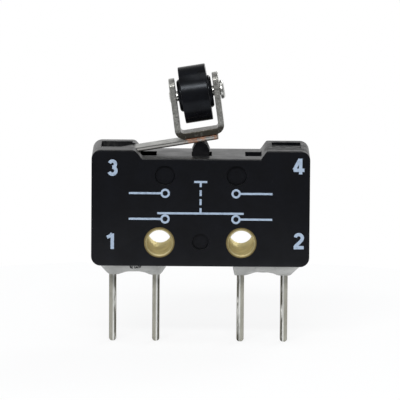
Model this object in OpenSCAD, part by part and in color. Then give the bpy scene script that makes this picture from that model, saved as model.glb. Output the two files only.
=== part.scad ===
// Double-break snap-action micro switch with a hinged roller lever.
// Origin: midway between the two fixing holes, at mid-thickness of the case.
// X runs along the case, -Y is the cover side, +Z points to the plunger.

/* [Case] */
// Length of the case along X
case_l = 25.3; // [25:0.1:26.5]
// Thickness of the case along Y
case_d = 9.5; // [9.2:0.1:11]
// Distance from the fixing hole line down to the underside
case_drop = 2.8; // [2.8:0.05:3.2]
// Height of the flat top between the end blocks above the hole line
deck_h = 9.77; // [9.77:0.05:10.4]
// Rise of the end blocks above the flat top
block_rise = 0.99; // [0.99:0.05:1.4]
// Length of the left end block along its flat top
left_block_l = 4.65; // [4.5:0.05:4.9]
// Length of the right end block along its flat top
right_block_l = 4.8; // [4.4:0.05:5]
// Radius of the four outer corners
corner_r = 1.1; // [0.6:0.05:1.3]
// Thickness of the front cover
cover_t = 2.2; // [1.9:0.05:2.4]
// Thickness of the rear wall behind the mechanism
rear_wall = 1.8; // [1.4:0.05:2]
// Thickness of the top wall over the plunger collar
top_wall = 1.0; // [0.8:0.05:1.2]
// Groove where the cover meets the housing
seam_groove = 0.05; // [0.02:0.01:0.08]

/* [Fixing holes] */
// Distance between the two fixing holes
hole_pitch = 9.5; // [9.3:0.05:9.7]
// Diameter of the fixing holes
hole_d = 2.8; // [2.6:0.05:2.9]
// Wall of the brass eyelets
eyelet_t = 0.2; // [0.14:0.01:0.24]
// Radius of the rolled inside of the eyelet lips
lip_r = 0.3; // [0.27:0.01:0.34]
// Straight rim outside the rolled lip
lip_rim = 0.03; // [0.02:0.01:0.06]
// Gap between the eyelets and their holes
eyelet_gap = 0.02; // [0.01:0.01:0.05]

/* [Locating pegs] */
// Diameter of the two upper pegs
upper_peg_d = 2.24; // [1.9:0.02:2.4]
// Distance of the upper pegs from the middle
upper_peg_x = 4.15; // [4:0.05:4.3]
// Depth of the upper pegs below the flat top
upper_peg_drop = 1.94; // [1.85:0.01:2.05]
// Diameter of the lower peg
lower_peg_d = 1.84; // [1.5:0.02:2]
// Height of the lower peg above the hole line
lower_peg_z = 0.1; // [-0.2:0.05:0.2]
// Depth of the peg ends below the cover's face
peg_sink = 0.4; // [0.2:0.05:0.7]
// Gap round the pegs in the cover
peg_gap = 0.03; // [0.02:0.01:0.06]

/* [Lever] */
// Thickness of the lever strip
lever_t = 0.5; // [0.4:0.01:0.55]
// Width of the lever strip
lever_w = 3.4; // [3:0.05:3.5]
// Rise of the lever at rest, in degrees
lever_tilt = 9.4; // [9:0.1:10]
// Length of the lever from its pin to its free end
lever_l = 11.17; // [11:0.05:12]
// Corner radius of the free end
lever_corner_r = 0.3; // [0.1:0.05:0.6]
// Distance of the lever pin from the left end of the case
pin_inset = 3.75; // [3.7:0.05:3.8]
// Depth of the lever pin below the end blocks' tops
pin_drop = 1.43; // [1.4:0.01:1.45]
// Diameter of the lever pin
pin_d = 1.0; // [0.8:0.05:1.05]
// Running clearance of the lever's eye on its pin
pin_gap = 0.05; // [0.03:0.01:0.08]
// Angle that the rolled eye covers
eye_wrap = 290; // [240:5:300]
// Side gap between the lever and its slot
lever_gap = 0.15; // [0.1:0.01:0.25]

/* [Roller and bracket] */
// Thickness of the bracket sheet
bracket_t = 0.68; // [0.56:0.02:0.72]
// Width of the bracket sheet
bracket_w = 3.2; // [2.6:0.05:3.3]
// Width over the bracket's ears
bracket_span = 5.77; // [5.7:0.01:6]
// Outer bend radius of the bracket
bend_r = 1.05; // [0.9:0.05:1.15]
// Lean of the ears towards the lever's tip, in degrees
ear_lean = 1.55; // [0:0.05:2]
// Radius of the ear ends round the axle
ear_r = 2.15; // [1.8:0.05:2.3]
// Distance from the lever pin to the bracket's middle, along the lever
bracket_at = 9.18; // [8.8:0.02:9.4]
// Height of the axle above the bracket's base
axle_h = 4.91; // [4.85:0.05:5.3]
// Diameter of the axle
axle_d = 1.2; // [1:0.05:1.4]
// Diameter of the axle's head
axle_head_d = 2.2; // [1.8:0.05:2.4]
// Height of the axle's head
axle_head_h = 0.5; // [0.3:0.05:0.7]
// Diameter of the roller
roller_d = 6.6; // [6:0.1:6.7]
// Width of the roller's rim
roller_w = 3.2; // [2.8:0.05:3.3]
// Diameter of the roller's hub
hub_d = 3.8; // [2.8:0.1:4.2]
// Height of the hub beside the rim
hub_h = 0.4; // [0.2:0.02:0.42]
// Running clearance of the roller on its axle
roller_gap = 0.05; // [0.03:0.01:0.08]
// Thickness of the brazed layer under the bracket
braze_t = 0.1; // [0.06:0.01:0.15]

/* [Plunger] */
// Width of the plunger's head along X
plunger_w = 1.95; // [1.7:0.05:2]
// Depth of the plunger's head along Y
plunger_d = 3.5; // [3:0.05:3.6]
// Width of the plunger's tip
tip_w = 1.15; // [0.9:0.05:1.3]
// Height of the plunger's tapered part
taper_h = 0.9; // [0.7:0.05:1]
// Radius of the plunger's crown
crown_r = 0.95; // [0.8:0.05:1.2]
// Clearance between the plunger and the lever at rest
touch_gap = 0.05; // [0.03:0.01:0.1]
// Gap on the left of the plunger in its slot
slot_gap_left = 0.1; // [0.08:0.01:0.3]
// Gap on the right of the plunger in its slot
slot_gap_right = 0.3; // [0.1:0.01:0.4]
// Gap in front of and behind the plunger
slot_gap_y = 0.12; // [0.08:0.01:0.2]
// Width of the collar that holds the plunger in
collar_w = 3.6; // [3.2:0.05:3.8]
// Thickness of the collar
collar_h = 0.8; // [0.6:0.05:1]
// Width of the plunger's stem along X
stem_w = 2.4; // [2.2:0.05:2.6]
// Depth of the plunger's stem along Y
stem_d = 1.9; // [1.6:0.05:2]

/* [Mechanism] */
// Height of the contact bridge above the hole line
bridge_z = 4.75; // [4.7:0.05:4.85]
// Distance of the bridge's ends from the ends of the case
bridge_inset = 3.55; // [3.5:0.01:3.6]
// Thickness of the contact bridge
bridge_t = 0.3; // [0.2:0.01:0.32]
// Width of the bridge's frame along Y
bridge_w = 3.4; // [3.2:0.05:3.8]
// Width of the bridge's arms
arm_w = 1.8; // [1.5:0.05:1.9]
// Length of the bridge's window
window_l = 6.6; // [6.2:0.1:7]
// Clearance between the stem and the bridge's window
window_gap = 0.15; // [0.1:0.01:0.2]
// Distance of the contacts from the ends of the case
contact_inset = 4.35; // [4.3:0.05:4.4]
// Diameter of the contact heads
contact_d = 1.4; // [1.2:0.05:1.5]
// Height of the contact heads
contact_h = 0.4; // [0.36:0.01:0.42]
// Diameter of the contact rivets' shanks
shank_d = 0.8; // [0.6:0.05:0.9]
// Opening between the bridge and the upper contacts
contact_gap = 0.52; // [0.5:0.01:0.6]
// Gap left between closed contacts
closed_gap = 0.02; // [0.01:0.01:0.03]
// Height of the return spring's seat above the hole line
spring_seat_z = 1.3; // [1.2:0.05:1.4]
// Height of the return spring at rest
return_h = 2.6; // [2.5:0.05:2.7]
// Diameter over the return spring
return_d = 1.85; // [1.7:0.05:1.9]
// Wire of the return spring
wire_d = 0.24; // [0.18:0.01:0.26]
// Number of turns of the return spring
return_turns = 4.5; // [3.5:0.5:5]
// Thickness of the snap springs
snap_t = 0.12; // [0.08:0.01:0.15]
// Width of the snap springs along Y
snap_w = 1.4; // [1.2:0.05:1.6]
// Bend radius of the snap springs
snap_r = 1.35; // [1.2:0.05:1.6]
// Height of the stem's notches above the bridge
notch_rise = 0.6; // [0.4:0.05:0.8]

/* [Terminals] */
// Width of the terminal strips
leg_w = 0.85; // [0.75:0.01:0.9]
// Thickness of the terminal strips
leg_t = 0.5; // [0.4:0.01:0.55]
// Length of the legs below the case
leg_l = 9.4; // [6:0.1:12]
// Distance between the two legs of a pair
leg_pitch = 5.08; // [5:0.02:5.15]
// Distance of each pair's middle from the end of the case
pair_inset = 5.19; // [5.15:0.01:5.25]
// Sideways offset of all four legs
leg_shift = -0.2; // [-0.25:0.05:0]
// Distance of the inner risers from the ends of the case
riser_inset = 5.17; // [5.13:0.01:5.2]
// Height of the strip run below the eyelets
run_h = 0.6; // [0.5:0.05:0.65]
// Height of the run's underside above the case's underside
run_lift = 0.28; // [0.2:0.02:0.34]
// Gap round the terminal strips in the housing
strip_gap = 0.05; // [0.03:0.01:0.08]

/* [Seals] */
// Depth of the sealing wells in the underside
well_h = 0.6; // [0.4:0.05:0.65]
// Distance from a pair's middle to the outer end of its seal
seal_out = 4.45; // [4.3:0.01:4.5]
// Distance from a pair's middle to the inner end of its seal
seal_in = 3.72; // [3.68:0.01:3.78]
// Half the width of the seals along Y
seal_half_w = 2.2; // [1.9:0.05:2.3]
// Depth of the seals between the legs
seal_h = 1.35; // [1:0.05:1.6]
// Extra depth where the seal climbs down a leg
meniscus_h = 0.4; // [0.1:0.05:0.8]
// Spread of the seal along a leg's sides
meniscus_r = 1.1; // [0.5:0.1:1.5]

/* [Hidden] */
$fn = 64;

CASE_BLACK = [0.09, 0.09, 0.10];
ROLLER_BLACK = [0.05, 0.05, 0.06];
BRASS = [0.72, 0.66, 0.40];
TIN = [0.66, 0.65, 0.60];
STEEL = [0.62, 0.61, 0.58];
COPPER = [0.72, 0.48, 0.36];
SILVER = [0.82, 0.82, 0.80];
EPOXY = [0.68, 0.69, 0.69];

// Small overlap that makes cuts and joined shapes meet cleanly
cut = 0.2;

// Faces and levels of the case
front_y = -case_d / 2;
rear_y = case_d / 2;
seam_y = front_y + cover_t;
inner_y = rear_y - rear_wall;
base_z = -case_drop;
block_z = deck_h + block_rise;
upper_peg_z = deck_h - upper_peg_drop;
ceiling_z = deck_h - top_wall;

// Places along the case, counted from its ends
pin_x = case_l / 2 - pin_inset;
pin_z = block_z - pin_drop;
bridge_reach = case_l / 2 - bridge_inset;
contact_x = case_l / 2 - contact_inset;
pair_x = case_l / 2 - pair_inset;
riser_x = case_l / 2 - riser_inset;

// Shoulders between the end blocks and the flat top: convex and concave radii and slope
left_shoulder = [0.7, 0.3, 50];
right_shoulder = [0.4, 0.15, 55];
corner_steps = 10;
shoulder_steps = 6;

// Lever slot, spare pocket and block recesses
slot_half_y = lever_w / 2 + lever_gap;
eye_r = pin_d / 2 + pin_gap;
eye_outer_r = eye_r + lever_t;
eye_room = 0.15;
pocket_in_x = 5.15;
pocket_out_x = 7.05;
pocket_depth = 1.6;
recess_back_y = inner_y + 0.15;
left_recess_depth = 0.65;
right_recess_depth = 0.25;
recess_end = 1.05;
pin_back_y = slot_half_y + 1.45;
pin_fit = 0.01;
pin_end_gap = 0.05;

// Lever line: the underside of the strip at the plunger, then the plunger's top
lever_under_z = pin_z + (pin_x * sin(lever_tilt) + eye_r) / cos(lever_tilt);
plunger_top_z = lever_under_z - touch_gap;

// Contact levels, from the bridge outwards
lower_tab_top = bridge_z - bridge_t / 2 - 2 * contact_h - closed_gap;
upper_tab_under = bridge_z + bridge_t / 2 + 2 * contact_h + contact_gap;
tab_seat_gap = 0.02;
rivet_gap = 0.02;
contact_dome_r = 2.2;
chamber_floor = lower_tab_top - leg_t - tab_seat_gap;
chamber_ceiling = upper_tab_under + leg_t + tab_seat_gap;
cavity_floor = 2.35;
cavity_ceiling = 7.4;
cavity_half_l = bridge_reach + 0.15;
chamber_in_x = 6.9;
collar_room_x = collar_w / 2 + 0.8;
barrier_x = 6;
barrier_t = 0.6;
barrier_gap = 0.25;

// Bridge: its frame past the window, and the corner radii of its arms and frame
frame_end = 0.9;
arm_round = 0.7;
frame_round = 0.5;

// Plunger levels
collar_top = ceiling_z - 0.03;
collar_bottom = collar_top - collar_h;
stem_bottom = spring_seat_z + return_h;
nipple_gap = 0.125;
nipple_d = return_d - 2 * (wire_d + nipple_gap);
nipple_h = 0.6;
notch_depth = 0.2;
notch_half_h = 0.35;
collar_side = 0.4;
spring_room = 0.15;
dead_turns = 0.75;
notch_z = bridge_z + notch_rise;
snap_clear = 0.05;

// Terminal plane, tabs and legs
blade_front = -leg_t / 2 - 0.7;
blade_back = blade_front + leg_t;
tab_half_y = 0.95;
tab_reach = 0.8;
tip_round = 0.36;
leg_tip_z = base_z - leg_l;
run_z = base_z + run_lift;
riser_half = leg_w / 2;

// Sealing wells, inside the ends of the seals by well_in; lengths over which the seals' ends run out
well_in = 0.46;
well_half_y = 1.7;
seal_lap = 0.2;
outer_seal_end = 1.3;
left_inner_seal_end = 0.6;
right_inner_seal_end = 0.25;
seal_columns = 40;
seal_rows = 12;

// Bracket and roller places in the lever's own frame, whose origin is the pin
strip_top = eye_r + lever_t;
bracket_floor = strip_top + braze_t;
axle_x = bracket_at + axle_h * tan(ear_lean);
axle_z = bracket_floor + axle_h;
rivet_d = 1.55;
rivet_h = 0.14;
ear_gap = 0.03;
braze_in = 0.1;
axle_fit = 0.01;

// Points on an arc between two angles
function arc(centre, r, from, to, steps) =
    [for (k = [0 : steps])
        let (a = from + (to - from) * k / steps)
        centre + r * [cos(a), sin(a)]];

// Sideways distance between the two arc centres of a shoulder
function shoulder_l(s) =
    let (sum = s[0] + s[1]) ((block_rise - sum) * cos(s[2]) + sum) / sin(s[2]);

// Outline of the case in X and Z, moved inwards by inset
function case_outline(inset) =
    let (
        half = case_l / 2,
        rl = left_shoulder,
        rr = right_shoulder,
        lx = -half + left_block_l,
        rx = half - right_block_l
    )
    concat(
        arc([-half + corner_r, base_z + corner_r], corner_r - inset, 180, 270, corner_steps),
        arc([half - corner_r, base_z + corner_r], corner_r - inset, 270, 360, corner_steps),
        arc([half - corner_r, block_z - corner_r], corner_r - inset, 0, 90, corner_steps),
        arc([rx, block_z - rr[0]], rr[0] - inset, 90, 90 + rr[2], shoulder_steps),
        arc([rx - shoulder_l(rr), deck_h + rr[1]], rr[1] + inset, rr[2] - 90, -90, shoulder_steps),
        arc([lx + shoulder_l(rl), deck_h + rl[1]], rl[1] + inset, -90, -90 - rl[2], shoulder_steps),
        arc([lx, block_z - rl[0]], rl[0] - inset, 90 - rl[2], 90, shoulder_steps),
        arc([-half + corner_r, block_z - corner_r], corner_r - inset, 90, 180, corner_steps)
    );

// Plate with the case's outline between two depths, its sides moved inwards by inset
module outline_plate(inset, y0, y1) {
    translate([0, max(y0, y1), 0])
        rotate([90, 0, 0])
            linear_extrude(abs(y1 - y0))
                polygon(case_outline(inset));
}

// Half of the case from its outer face at y0 to the seam at y1, stepped in along the seam
module case_slab(y0, y1) {
    step = sign(y1 - y0) * seam_groove;
    outline_plate(0, y0, y1 - step);
    outline_plate(seam_groove, (y0 + y1) / 2, y1);
}

// Round bar along Y from y0 to y1
module bar_y(x, z, d, y0, y1) {
    translate([x, y0, z])
        rotate([-90, 0, 0])
            cylinder(d = d, h = y1 - y0);
}

// Block between two corners
module block(low, high) {
    translate(low)
        cube(high - low);
}

// Ring between two radii, cut to the angles from a0 to a1
module ring_sector(r_in, r_out, a0, a1) {
    intersection() {
        difference() {
            circle(r_out);
            circle(r_in);
        }
        polygon(concat([[0, 0]], arc([0, 0], 2 * r_out, a0, a1, 4)));
    }
}

// A shape drawn in X and Z, w deep along Y and centred on y = 0
module across(w) {
    rotate([90, 0, 0])
        linear_extrude(w, center = true)
            children();
}

// Bar in plan with its corner at the origin and both corners of its far end rounded
module round_ended(l, w, r) {
    translate([0, -w / 2])
        square([l - r, w]);
    translate([0, -w / 2 + r])
        square([l, w - 2 * r]);
    for (side = [-1, 1])
        translate([l - r, side * (w / 2 - r)])
            circle(r);
}

// ---- Case ----

// Section of an eyelet's outside from the hole's axis, grown by a clearance
function eyelet_outside(grow) =
    let (
        r = hole_d / 2 + eyelet_t,
        seat = lip_r - eyelet_t - grow,
        rim = hole_d / 2 + lip_r
    )
    concat(
        [[0, front_y - (grow > 0 ? cut : 0)]],
        [[rim + lip_rim + grow, front_y - (grow > 0 ? cut : 0)]],
        [[rim + lip_rim + grow, front_y + eyelet_t + grow]],
        arc([rim, front_y + lip_r], seat, 270, 180, corner_steps),
        arc([rim, rear_y - lip_r], seat, 180, 90, corner_steps),
        [[rim + lip_rim + grow, rear_y - eyelet_t - grow]],
        [[rim + lip_rim + grow, rear_y + (grow > 0 ? cut : 0)]],
        [[0, rear_y + (grow > 0 ? cut : 0)]]
    );

// Section of the space inside an eyelet
function eyelet_inside() =
    let (rim = hole_d / 2 + lip_r)
    concat(
        [[0, front_y - cut], [rim, front_y - cut]],
        arc([rim, front_y + lip_r], lip_r, 270, 180, corner_steps),
        arc([rim, rear_y - lip_r], lip_r, 180, 90, corner_steps),
        [[rim, rear_y + cut], [0, rear_y + cut]]
    );

module turned_y(x) {
    translate([x, 0, 0])
        rotate([-90, 0, 0])
            rotate_extrude()
                children();
}

module eyelet(side) {
    color(BRASS)
        difference() {
            turned_y(side * hole_pitch / 2)
                polygon(eyelet_outside(0));
            turned_y(side * hole_pitch / 2)
                polygon(eyelet_inside());
        }
}

module eyelet_holes() {
    for (side = [-1, 1])
        turned_y(side * hole_pitch / 2)
            polygon(eyelet_outside(eyelet_gap));
}

// Pegs moulded on the housing, or their holes in the cover when grown
module pegs(grow, from, to) {
    for (side = [-1, 1])
        bar_y(side * upper_peg_x, upper_peg_z, upper_peg_d + 2 * grow, from, to);
    bar_y(0, lower_peg_z, lower_peg_d + 2 * grow, from, to);
}

function leg_x(side, place) = side * (pair_x + place * leg_pitch / 2) + leg_shift;

// Room for the moving parts, closed at the front by the cover
module mechanism_room() {
    block([-chamber_in_x, seam_y - cut, cavity_floor], [chamber_in_x, inner_y, cavity_ceiling]);
    block([-cavity_half_l, seam_y - cut, chamber_floor], [cavity_half_l, inner_y, chamber_ceiling]);
    block([-collar_room_x, seam_y - cut, cavity_floor], [collar_room_x, inner_y, ceiling_z]);
    translate([0, 0, spring_seat_z])
        cylinder(d = return_d + 2 * spring_room, h = cavity_floor - spring_seat_z + cut);
}

// Slots that take the terminal strips from the cover side
module strip_slots(side) {
    back = blade_back + strip_gap;
    outer = leg_x(side, 1);
    inner = leg_x(side, -1);
    outer_edge = outer + side * (riser_half + strip_gap);
    wall_edge = side * (cavity_half_l - strip_gap);
    run_edge = side * (riser_x + riser_half + strip_gap);
    run_end = inner - side * (riser_half + strip_gap);
    block([min(outer_edge, wall_edge), seam_y - cut, base_z - cut],
          [max(outer_edge, wall_edge), back, chamber_ceiling]);
    block([min(outer_edge, wall_edge), seam_y - cut, upper_tab_under - strip_gap],
          [max(outer_edge, wall_edge), tab_half_y + strip_gap, chamber_ceiling]);
    block([side * riser_x - riser_half - strip_gap, seam_y - cut, run_z],
          [side * riser_x + riser_half + strip_gap, back, chamber_floor + cut]);
    block([min(run_edge, run_end), seam_y - cut, run_z - strip_gap],
          [max(run_edge, run_end), back, run_z + run_h + strip_gap]);
    block([inner - riser_half - strip_gap, seam_y - cut, base_z - cut],
          [inner + riser_half + strip_gap, back, run_z + cut]);
}

function seal_low_x(side) = side * pair_x - (side < 0 ? seal_out : seal_in);
function seal_high_x(side) = side * pair_x + (side < 0 ? seal_in : seal_out);

module sealing_well(side, lap) {
    block([seal_low_x(side) + well_in, -well_half_y, base_z - lap],
          [seal_high_x(side) - well_in, well_half_y, base_z + well_h]);
}

// Slot, eye seat and recesses for the lever in the left end block
module lever_slot() {
    eye_side = eye_outer_r + eye_room;
    block([-pin_x - eye_side, -slot_half_y, pin_z - eye_side],
          [-pin_x + eye_side, slot_half_y, block_z + cut]);
    block([-pin_x, -slot_half_y, deck_h],
          [-pocket_out_x + eye_side, slot_half_y, block_z + cut]);
    block([-case_l / 2 + recess_end, -slot_half_y, block_z - left_recess_depth],
          [-case_l / 2 + left_block_l, recess_back_y, block_z + cut]);
}

module top_openings() {
    for (side = [-1, 1])
        block([min(side * pocket_in_x, side * pocket_out_x), -slot_half_y, deck_h - pocket_depth],
              [max(side * pocket_in_x, side * pocket_out_x), slot_half_y, deck_h + cut]);
    block([case_l / 2 - right_block_l + right_shoulder[0], -slot_half_y, block_z - right_recess_depth],
          [case_l / 2 - recess_end, recess_back_y, block_z + cut]);
    block([-plunger_w / 2 - slot_gap_left, -plunger_d / 2 - slot_gap_y, ceiling_z - cut],
          [plunger_w / 2 + slot_gap_right, plunger_d / 2 + slot_gap_y, deck_h + cut]);
    lever_slot();
}

// Walls that part the contact chambers from the middle of the case
module barrier(side, y0, y1) {
    block([side * barrier_x - barrier_t / 2, y0, cavity_floor - cut],
          [side * barrier_x + barrier_t / 2, y1, cavity_ceiling + cut]);
}

module housing() {
    color(CASE_BLACK) {
        difference() {
            case_slab(rear_y, seam_y);
            mechanism_room();
            top_openings();
            for (side = [-1, 1]) {
                strip_slots(side);
                sealing_well(side, cut);
            }
            eyelet_holes();
            bar_y(-pin_x, pin_z, pin_d + 2 * pin_fit, seam_y - cut, pin_back_y);
        }
        pegs(0, front_y + peg_sink, inner_y + cut);
        for (side = [-1, 1])
            barrier(side, arm_w / 2 + barrier_gap, inner_y + cut);
        translate([0, 0, spring_seat_z - cut])
            cylinder(d = nipple_d, h = nipple_h + cut);
    }
}

// Pads inside the cover that hold the terminal strips in their slots
module cover_pads(side) {
    reach = blade_front - strip_gap;
    top = chamber_floor - strip_gap;
    low = base_z + well_h + strip_gap;
    outer = leg_x(side, 1);
    run_near = leg_x(side, -1);
    block([outer - riser_half, seam_y - cut, low],
          [outer + riser_half, reach, upper_tab_under - 2 * strip_gap]);
    block([side * riser_x - riser_half, seam_y - cut, low],
          [side * riser_x + riser_half, reach, top]);
    block([min(side * riser_x, run_near), seam_y - cut, low],
          [max(side * riser_x, run_near), reach, run_z + run_h - strip_gap]);
}

module cover() {
    color(CASE_BLACK)
        difference() {
            union() {
                case_slab(front_y, seam_y);
                for (side = [-1, 1]) {
                    cover_pads(side);
                    block([side * barrier_x - barrier_t / 2, seam_y - cut, cavity_floor + strip_gap],
                          [side * barrier_x + barrier_t / 2, -arm_w / 2 - barrier_gap,
                           cavity_ceiling - strip_gap]);
                }
            }
            pegs(peg_gap, front_y - cut, seam_y + 2 * cut);
            eyelet_holes();
        }
}

// ---- Plunger and springs ----

module plunger() {
    half_tip = tip_w / 2;
    half = plunger_w / 2;
    color(ROLLER_BLACK) {
        across(plunger_d)
            intersection() {
                polygon([
                    [-half, collar_bottom], [half, collar_bottom],
                    [half, plunger_top_z - taper_h],
                    [half_tip, plunger_top_z], [-half_tip, plunger_top_z],
                    [-half, plunger_top_z - taper_h]
                ]);
                union() {
                    translate([0, plunger_top_z - crown_r])
                        circle(crown_r);
                    translate([-half, collar_bottom])
                        square([plunger_w, plunger_top_z - crown_r - collar_bottom]);
                }
            }
        block([-collar_w / 2, -plunger_d / 2 - collar_side, collar_bottom],
              [collar_w / 2, plunger_d / 2 + collar_side, collar_top]);
        across(stem_d)
            difference() {
                translate([-stem_w / 2, stem_bottom])
                    square([stem_w, collar_bottom - stem_bottom + cut]);
                for (side = [-1, 1])
                    polygon([
                        [side * (stem_w / 2 - notch_depth), notch_z],
                        [side * (stem_w / 2 + cut), notch_z + notch_half_h],
                        [side * (stem_w / 2 + cut), notch_z - notch_half_h]
                    ]);
            }
        translate([0, 0, stem_bottom - nipple_h])
            cylinder(d = nipple_d, h = nipple_h + cut);
    }
}

// Point on the return spring's wire line after a share t of its length, dead coils at both ends
function return_point(t) =
    let (
        r = (return_d - wire_d) / 2,
        a = 360 * return_turns * t,
        low = spring_seat_z + wire_d / 2,
        high = stem_bottom - wire_d / 2,
        dead = dead_turns / return_turns,
        rise = min(1, max(0, (t - dead) / (1 - 2 * dead)))
    )
    [r * cos(a), r * sin(a), low + (high - low) * rise];

module return_spring() {
    sides = 6;
    rings = round(return_turns * 16);
    points = [for (i = [0 : rings])
        let (
            t = i / rings,
            p = return_point(t),
            a = 360 * return_turns * t,
            out = [cos(a), sin(a), 0]
        )
        for (k = [0 : sides - 1])
            p + wire_d / 2 * (cos(360 * k / sides) * out + sin(360 * k / sides) * [0, 0, 1])];
    walls = [for (i = [0 : rings - 1]) for (k = [0 : sides - 1])
        [i * sides + k, i * sides + (k + 1) % sides,
         (i + 1) * sides + (k + 1) % sides, (i + 1) * sides + k]];
    caps = [[for (k = [sides - 1 : -1 : 0]) k], [for (k = [0 : sides - 1]) rings * sides + k]];
    color(STEEL)
        polyhedron(points, concat(walls, caps));
}

// Bowed strip between a notch of the stem and an end of the bridge's window
module snap_spring(side) {
    start = [stem_w / 2 - notch_depth + snap_clear, notch_z];
    end = [window_l / 2 - snap_clear, bridge_z];
    chord = end - start;
    span = norm(chord);
    across_chord = [chord[1], -chord[0]] / span;
    centre = (start + end) / 2 + across_chord * sqrt(snap_r * snap_r - span * span / 4);
    a0 = atan2(end[1] - centre[1], end[0] - centre[0]);
    a1 = atan2(start[1] - centre[1], start[0] - centre[0]);
    color(STEEL)
        mirror([side < 0 ? 1 : 0, 0, 0])
            across(snap_w)
                translate(centre)
                    ring_sector(snap_r - snap_t / 2, snap_r + snap_t / 2, a0, a1);
}

// ---- Contacts ----

module contact_bridge() {
    frame_l = window_l / 2 + frame_end;
    window_w = stem_d + 2 * window_gap;
    color(COPPER)
        translate([0, 0, bridge_z - bridge_t / 2])
            linear_extrude(bridge_t)
                difference() {
                    union() {
                        for (turn = [0, 180])
                            rotate(turn) {
                                round_ended(bridge_reach, arm_w, arm_round);
                                round_ended(frame_l, bridge_w, frame_round);
                            }
                    }
                    square([window_l, window_w], center = true);
                    for (side = [-1, 1])
                        translate([side * contact_x, 0])
                            circle(d = shank_d + 2 * rivet_gap);
                }
}

// Domed contact head on z = 0, pointing up
module contact_head() {
    drop = contact_dome_r - sqrt(contact_dome_r * contact_dome_r - contact_d * contact_d / 4);
    intersection() {
        cylinder(d = contact_d, h = contact_h);
        translate([0, 0, contact_h - contact_dome_r])
            rotate_extrude()
                polygon(concat([[0, 0]], arc([0, 0], contact_dome_r, 0, 90, 24)));
    }
    cylinder(d = contact_d, h = contact_h - drop);
}

module bridge_contact(side) {
    color(SILVER)
        translate([side * contact_x, 0, bridge_z]) {
            cylinder(d = shank_d, h = bridge_t + cut, center = true);
            for (turn = [0, 180])
                rotate([turn, 0, 0])
                    translate([0, 0, bridge_t / 2])
                        contact_head();
        }
}

// Fixed contact on the tab of a terminal; way is 1 under the bridge and -1 over it
module fixed_contact(side, way) {
    face = way > 0 ? lower_tab_top : upper_tab_under;
    color(SILVER)
        translate([side * contact_x, 0, face])
            mirror([0, 0, way > 0 ? 0 : 1]) {
                contact_head();
                translate([0, 0, -leg_t])
                    cylinder(d = shank_d, h = leg_t + cut / 2);
            }
}

// ---- Terminals ----

// Upright stretch of strip between two heights
module strip_up(x, z0, z1) {
    block([x - riser_half, blade_front, z0], [x + riser_half, blade_back, z1]);
}

// Tab bent back from the top of a strip, with the bend's outside rounded
module strip_tab(from_x, to_x, top) {
    low_x = min(from_x, to_x);
    high_x = max(from_x, to_x);
    translate([low_x, 0, 0])
        rotate([90, 0, 90])
            linear_extrude(high_x - low_x) {
                translate([blade_back, top - leg_t])
                    square([tab_half_y - blade_back, leg_t]);
                intersection() {
                    translate([blade_back, top - leg_t])
                        circle(leg_t);
                    translate([blade_front, top - leg_t])
                        square([leg_t, leg_t]);
                }
            }
}

// Leg below the case with its tip rounded
module leg(x, top) {
    translate([0, (blade_front + blade_back) / 2, 0])
        across(leg_t) {
            translate([x - riser_half, leg_tip_z + tip_round])
                square([leg_w, top - leg_tip_z - tip_round]);
            translate([x - riser_half + tip_round, leg_tip_z])
                square([leg_w - 2 * tip_round, 2 * tip_round]);
            for (side = [-1, 1])
                translate([x + side * (riser_half - tip_round), leg_tip_z + tip_round])
                    circle(tip_round);
        }
}

module rivet_hole(side, top) {
    translate([side * contact_x, 0, top - leg_t - cut])
        cylinder(d = shank_d + 2 * rivet_gap, h = leg_t + 2 * cut);
}

// Terminal of a lower contact: inner leg, run below the eyelet, riser and tab
module lower_terminal(side) {
    foot = leg_x(side, -1);
    top = lower_tab_top;
    color(TIN)
        difference() {
            union() {
                leg(foot, run_z + run_h);
                block([min(foot, side * riser_x) - riser_half, blade_front, run_z],
                      [max(foot, side * riser_x) + riser_half, blade_back, run_z + run_h]);
                strip_up(side * riser_x, run_z, top - leg_t);
                strip_tab(side * (riser_x - riser_half), side * (contact_x + tab_reach), top);
            }
            rivet_hole(side, top);
        }
}

// Terminal of an upper contact: outer leg straight up to its tab
module upper_terminal(side) {
    foot = leg_x(side, 1);
    top = upper_tab_under + leg_t;
    color(TIN)
        difference() {
            union() {
                leg(foot, top - leg_t);
                strip_tab(foot + side * riser_half, side * (contact_x - tab_reach), top);
            }
            rivet_hole(side, top);
        }
}

// ---- Seals ----

// Depth of a seal below the case at x, rounded off at its ends and hanging down the legs
function seal_depth(side, x) =
    let (
        low = seal_low_x(side),
        high = seal_high_x(side),
        low_l = side < 0 ? outer_seal_end : right_inner_seal_end,
        high_l = side < 0 ? left_inner_seal_end : outer_seal_end,
        ends = sqrt(min(1, max(0, (x - low) / low_l))) * sqrt(min(1, max(0, (high - x) / high_l))),
        near = min(abs(x - leg_x(side, -1)), abs(x - leg_x(side, 1))),
        climb = max(0, near - leg_w / 2) / meniscus_r
    )
    ends * (seal_h + meniscus_h * exp(-climb * climb));

// Share of that depth across the seal's width
function seal_share(s) = pow(max(0, 1 - pow(abs(s), 2.5)), 0.6);

// Bead of sealing resin: its side view cut to its rounded end view
module seal_bead(side) {
    low = seal_low_x(side);
    high = seal_high_x(side);
    deepest = seal_h + meniscus_h;
    intersection() {
        across(2 * seal_half_w)
            polygon([for (i = [0 : seal_columns])
                let (x = low + (high - low) * i / seal_columns)
                [x, base_z - seal_depth(side, x)]]);
        translate([low, 0, 0])
            rotate([90, 0, 90])
                linear_extrude(high - low)
                    polygon([for (j = [0 : seal_rows])
                        let (s = -cos(180 * j / seal_rows))
                        [s * seal_half_w, base_z - deepest * seal_share(s)]]);
    }
}

module terminal_seal(side) {
    color(EPOXY)
        difference() {
            union() {
                seal_bead(side);
                sealing_well(side, seal_lap);
            }
            lower_terminal(side);
            upper_terminal(side);
        }
}

// ---- Lever, bracket and roller ----

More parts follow.
